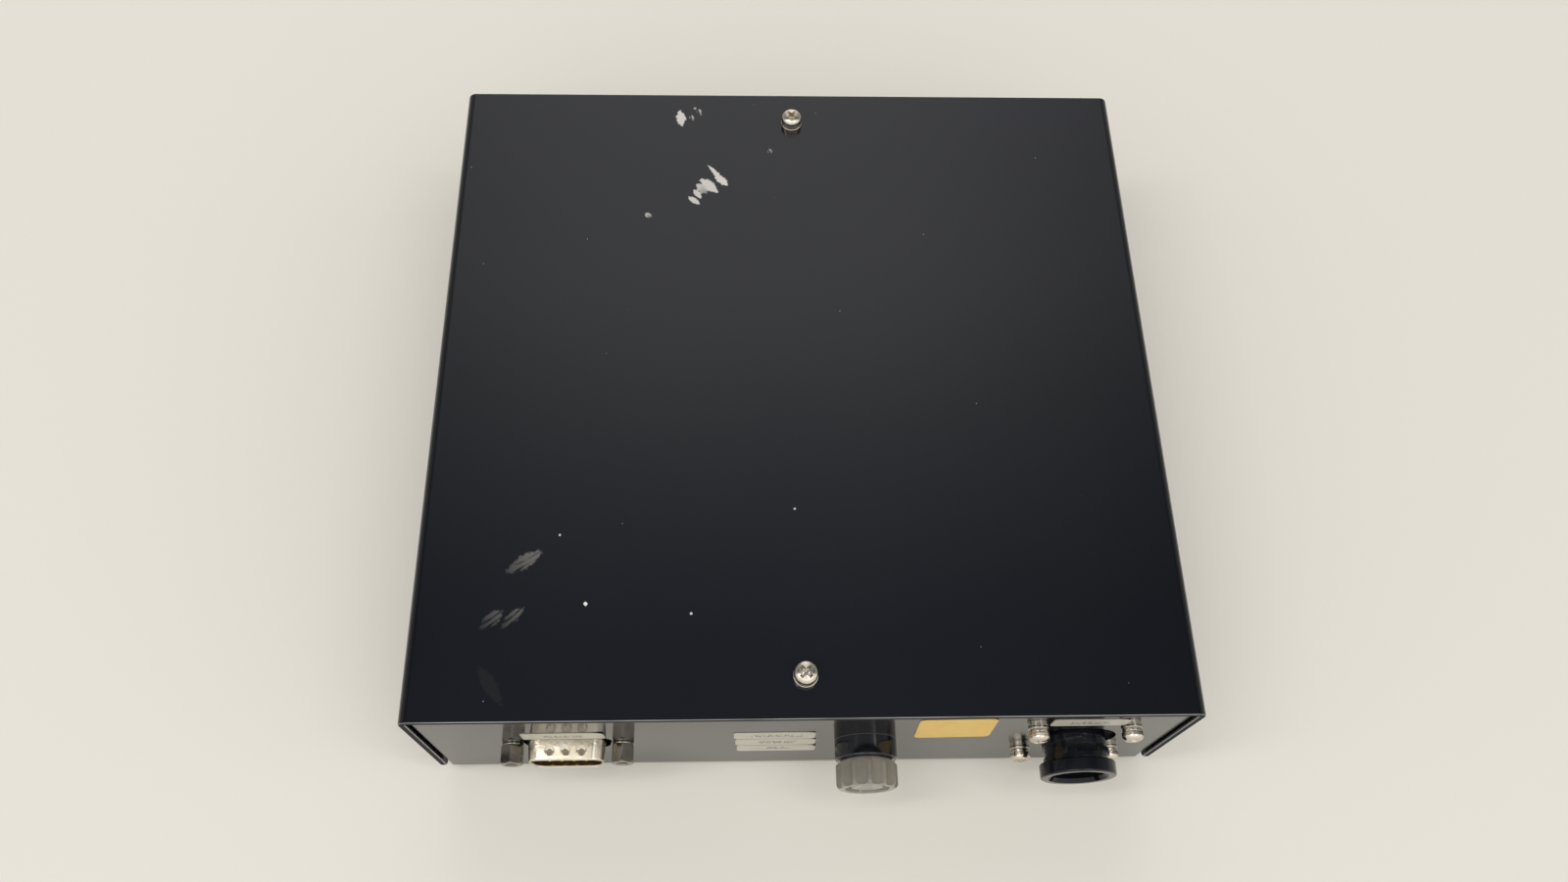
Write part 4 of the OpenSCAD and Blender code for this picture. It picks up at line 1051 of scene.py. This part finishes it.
def serial_flange(opening_width, opening_height):
    """The shell's flange, behind the wall, with its D opening and a hole for each jack post."""
    plate = box("flange", (-15.4, -6.25, BEHIND_WALL - 0.5), (15.4, 6.25, BEHIND_WALL))
    round_corners(1.5, 6)
    opening = d_face("opening", opening_width, opening_height, 2.9, -3)
    select_all()
    extrude(3)
    done()
    heal()
    cut(plate, opening, *drills(HOLE_RADIUS, -3, 0, [(-POST_REACH, 0), (POST_REACH, 0)]))
    soften(0.08, 2, 40)
    smooth()
    return plate


def jack_post():
    """A hexagon post with coned ends, a tapped front hole and a threaded stud behind."""
    corner = POST_FLATS / 2 / math.cos(math.radians(30))
    post = turned("jack_post", [(corner, 0.5), (corner, 4.8)], 6)
    round_corners(0.2, 3)
    trim(post, turned("cone", [(2.35, 0.45), (2.76, 0.78), (2.76, 4.42), (2.25, 4.85)], 48))
    tapped = turned("tapped", [(0.5, 0.8)] + thread(1.32, 1.0, 4.3) + [(1.32, 4.5), (1.7, 4.95)], 32)
    cut(post, tapped)
    heal()
    soften(0.07, 2, 25)
    smooth(25)
    stud = turned("stud", [(1.2, -5.9)] + thread(THREAD_RADIUS, -5.7, -0.5) + [(THREAD_RADIUS, 0.6)], 32)
    smooth()
    return gather(post, stud)


def jack_posts():
    places = [SERIAL @ Matrix.Translation((x, 0, 0)) for x in (-POST_REACH, POST_REACH)]
    set_of(jack_post(), "jack_post", places, LOOKS["post"])
    set_of(split_washer("washer", HOLE_RADIUS, 2.45, 0.5), "jack_washer", places, LOOKS["post"])


# ---- fuse holder ----------------------------------------------------------

def fuse_holder():
    """The holder's bushing in front of the wall, its threaded stem and its bored inside."""
    outline = [(1.0, -34.0), (5.3, -34.0), (6.0, -33.3), (6.0, -21.0)]
    outline += [(r, z) for z in range(-20, -2) for r, z in ((6.0, z), (5.72, z + 0.5))]
    outline += [(6.0, -1.9), (6.0, 0.0), (7.18, 0.0), (7.18, 0.1), (7.1, 0.2), (7.1, 4.3), (7.03, 4.55),
                (6.85, 4.73), (6.6, 4.8), (5.45, 4.8), (5.28, 4.73), (5.2, 4.55), (5.2, -5.7),
                (2.9, -5.7), (2.9, -31.0), (1.0, -31.0), (1.0, -34.0)]
    piece = turned("fuse_holder_body", outline, 72)
    cut(piece, box("slot", (4.9, -1.55, -13.35), (6.6, 1.55, -12.65)))
    smooth()
    seat(piece, FUSE)
    hand_over(piece, LOOKS["holder"], "fuse_holder")


def fuse_cap():
    """The fluted cap with its sleeve: it turns, and draws out with the fuse."""
    outline = [(0.4, 3.3), (2.7, 3.3), (2.7, -5.4), (4.95, -5.4), (5.1, -5.2), (5.1, 5.1), (6.0, 5.1),
               (6.0, 5.5), (6.5, 5.5), (6.82, 5.62), (7.0, 5.95), (7.0, 10.15), (6.9, 10.55), (6.62, 10.92),
               (6.2, 11.1), (5.15, 11.1), (4.98, 10.95), (4.9, 10.5), (4.75, 10.4), (3.85, 10.4),
               (3.7, 10.5), (3.62, 10.72), (3.4, 10.8), (2.6, 10.78), (1.4, 10.66), (0.4, 10.62)]
    piece = turned("fuse_cap_fluted", outline, 96)
    flute_at, angles = 8.05, [math.radians(30 * k + 15) for k in range(12)]
    spots = [(flute_at * math.cos(angle), flute_at * math.sin(angle)) for angle in angles]
    cut(piece, *drills(1.9, 5.4, 12.0, spots, 40))
    heal()
    soften(0.1, 2, 32)
    smooth(28)
    seat(piece, FUSE)
    hand_over(piece, LOOKS["cap"], "fuse_cap")


# ---- power socket ---------------------------------------------------------

def helical_ridge(radius, turns, lead, start):
    """A low square ridge that climbs round the barrel. It is laid flat, then wrapped."""
    half_wide, half_deep, fade = 1.05, 0.5, 6
    length = turns * 2 * math.pi * radius
    ridge = box("ridge", (0, -half_wide, -half_deep), (length, half_wide, half_deep))
    choose("EDGE", lambda m, d: abs(d.x) > 0.9)
    bpy.ops.mesh.subdivide(number_cuts=int(72 * turns))
    done()
    soften(0.12, 2, 40)
    for point in ridge.data.vertices:
        along, across, up = point.co
        angle = math.pi / 2 + along / radius
        faded = min(1.0, 0.3 + along / fade, 0.3 + (length - along) / fade)
        reach = radius + (up * faded if up > 0 else up)
        point.co = (reach * math.cos(angle), reach * math.sin(angle),
                    start + across + along * lead / (2 * math.pi * radius))
    return ridge


def socket_housing():
    """The round socket: a flange behind the wall, a barrel with a coarse thread and a notched rim."""
    barrel = 7.0
    outline = [(5.2, -15.0), (6.8, -15.0), (barrel, -14.8), (barrel, 5.9), (7.4, 6.0), (8.35, 6.02),
               (8.6, 6.3), (8.6, 8.8), (8.5, 9.06), (8.25, 9.2), (6.95, 9.2), (6.8, 9.1), (6.1, 8.3),
               (6.1, 0.4), (5.2, 0.4), (5.2, -15.0)]
    piece = turned("socket_body", outline, 96)
    notches = [box("notch", (-width / 2, 0, 6.4), (width / 2, 6.9, 10), turn)
               for turn, width in ((0, 1.9), (62, 1.4), (-60, 1.4), (125, 1.4), (-125, 1.4))]
    weld(piece, helical_ridge(barrel, 1.42, 4.35, 0.35))
    cut(piece, *notches, box("window", (-1.6, 6.4, 2.6), (3.4, 9.0, 4.6)))
    flange = box("flange", (-13.2, -13.2, BEHIND_WALL - 2.4), (13.2, 13.2, BEHIND_WALL))
    round_corners(3, 8)
    cut(flange, *drills(6.6, -5, 0, [(0, 0)], 96), *drills(HOLE_RADIUS, -5, 0, SOCKET_SCREWS))
    weld(piece, flange)
    heal()
    soften(0.1, 2, 38)
    smooth(34)
    seat(piece, SOCKET)
    hand_over(piece, LOOKS["moulding"], "socket_housing")


# ---- labels ---------------------------------------------------------------

def film(name, width, height, corner, lift):
    """A thin film with round corners, its upper right corner a little lifted."""
    thick, lifted_reach, crease = 0.15, 3.2, 0.7
    piece = box(name, (-width / 2, -height / 2, 0), (width / 2, height / 2, thick))
    round_corners(corner, 5)
    edit()
    for k in range(1, 5):
        bpy.ops.mesh.select_all(action="SELECT")
        cross = (width / 2 - crease * k, height / 2, 0)
        bpy.ops.mesh.bisect(plane_co=cross, plane_no=(0.8, 0.6, 0))
    done()
    corner_at = Vector((width / 2, height / 2))
    for point in piece.data.vertices:
        away = (corner_at - point.co.xy).length
        point.co.z += lift * max(0.0, 1 - away / lifted_reach) ** 2
    soften(0.04, 2, 40)
    smooth()
    return piece


# Width, height, corner and lift in millimetres, and turn in degrees
SINGLE_LABELS = {
    "serial_label": (18.4, 5.6, 0.8, 0.25, 1), "power_label": (17.0, 5.8, 0.8, 0.2, 0),
    "amber_sticker": (17.2, 17.4, 1.6, 0.1, 2)}


def single_labels():
    for name, (width, height, corner, lift, turn) in SINGLE_LABELS.items():
        at = middle(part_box(name))
        piece = film(name + "_film", width, height, corner, lift)
        seat(piece, spun(on_wall(at.x, at.z), turn))
        if name == "amber_sticker":
            look = LOOKS["amber"]
        else:
            look = printed_film(name.replace("_", " "), [(at.x, at.z - 0.2 * MM, 8.5 * MM, 2.0 * MM)])
        hand_over(piece, look, name)


def rating_strips():
    """Three strips of film, one above the other and a little out of line, each with its own print."""
    centre = middle(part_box("rating_strips"))
    rows = [(centre.x + 0.3 * MM * k, centre.z - 6.5 * MM * k) for k in (-1, 0, 1)]
    prints = [(x + 0.5 * MM, z, length * MM, 2.4 * MM) for (x, z), length in zip(rows, (11.5, 8.5, 5.5))]
    look = printed_film("rating strips", prints)
    for number, (x, z) in enumerate(rows, 1):
        piece = film(f"rating_strip_{number}", 18.4, 6.1, 0.8, 0.12 * number)
        seat(piece, on_wall(x, z))
        hand_over(piece, look, "rating_strips")


# ---- the rest of the box --------------------------------------------------

BY_SLOT = {
    "black_enamel": "case", "nickel_plate": "nickel", "gold_contact": "gold",
    "black_moulding": "moulding", "amber_moulding": "insulator", "smoke_cap": "cap",
    "green_laminate": "laminate", "chip_black": "chip", "chip_white": "white_chip",
    "can_aluminium": "can", "sleeve_blue": "sleeve", "ferrite": "ferrite", "copper_wire": "copper",
    "black_anodised": "anodised", "small_ceramic": "small", "header_nylon": "nylon",
    "terminal_green": "terminal", "fuse_glass": "glass", "wire_blue": "blue", "wire_red": "red",
    "wire_earth": "green"}

# How far the edges of a piece are broken, in millimetres. The others are left as they are.
BROKEN_EDGES = {
    "clinch_nuts": 0.12, "serial_rear_shell": 0.08, "serial_insulator": 0.06, "jack_nuts": 0.15,
    "fuse_holder_nut": 0.3, "fuse_plunger": 0.1, "fuse_terminals": 0.06, "fuse_end_caps": 0.15,
    "socket_insert": 0.15, "socket_contacts": 0.08, "socket_nuts": 0.15, "board": 0.12,
    "board_standoffs": 0.15, "controller_chip": 0.25, "controller_leads": 0.05, "logic_chips": 0.25,
    "logic_leads": 0.05, "optocouplers": 0.25, "crystal": 0.4, "capacitor_cans": 0.25,
    "capacitor_sleeves": 0.06, "choke_core": 0.15, "heatsink": 0.15, "regulator": 0.2,
    "regulator_tab": 0.08, "small_parts": 0.06, "serial_header": 0.2, "power_terminal": 0.25,
    "terminal_screws": 0.1, "earth_lug": 0.12, "chassis": 0.12}


def cleaned_copy(name):
    """A copy of a CAD node with its flats made whole, its edges broken and its rounds smooth."""
    source = frame["nodes"][name]
    clear_bench()
    piece = bpy.data.objects.new(name + "_finished", source.data.copy())
    bpy.context.scene.collection.objects.link(piece)
    piece.scale = (1 / MM,) * 3
    pick(piece)
    settle()
    heal(0.002)
    select_all()
    bpy.ops.mesh.dissolve_limited(angle_limit=math.radians(0.4))
    done()
    if name in BROKEN_EDGES:
        soften(BROKEN_EDGES[name], 2, 38)
    # Wires and springs are bent from short lengths, which meet at wider angles.
    smooth(60 if "wire" in name or "spring" in name else 32)
    seat(piece, FULL_SIZE)
    hand_over(piece, LOOKS[BY_SLOT[SUBPARTS[name]]], name)


cover_shell()
cover_fasteners()
socket_fasteners()
serial_shell()
jack_posts()
fuse_holder()
fuse_cap()
socket_housing()
single_labels()
rating_strips()
made_by_hand = {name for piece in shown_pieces() for name in piece.get("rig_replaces", ())}
for cad_node in SUBPARTS:
    if cad_node not in made_by_hand:
        cleaned_copy(cad_node)
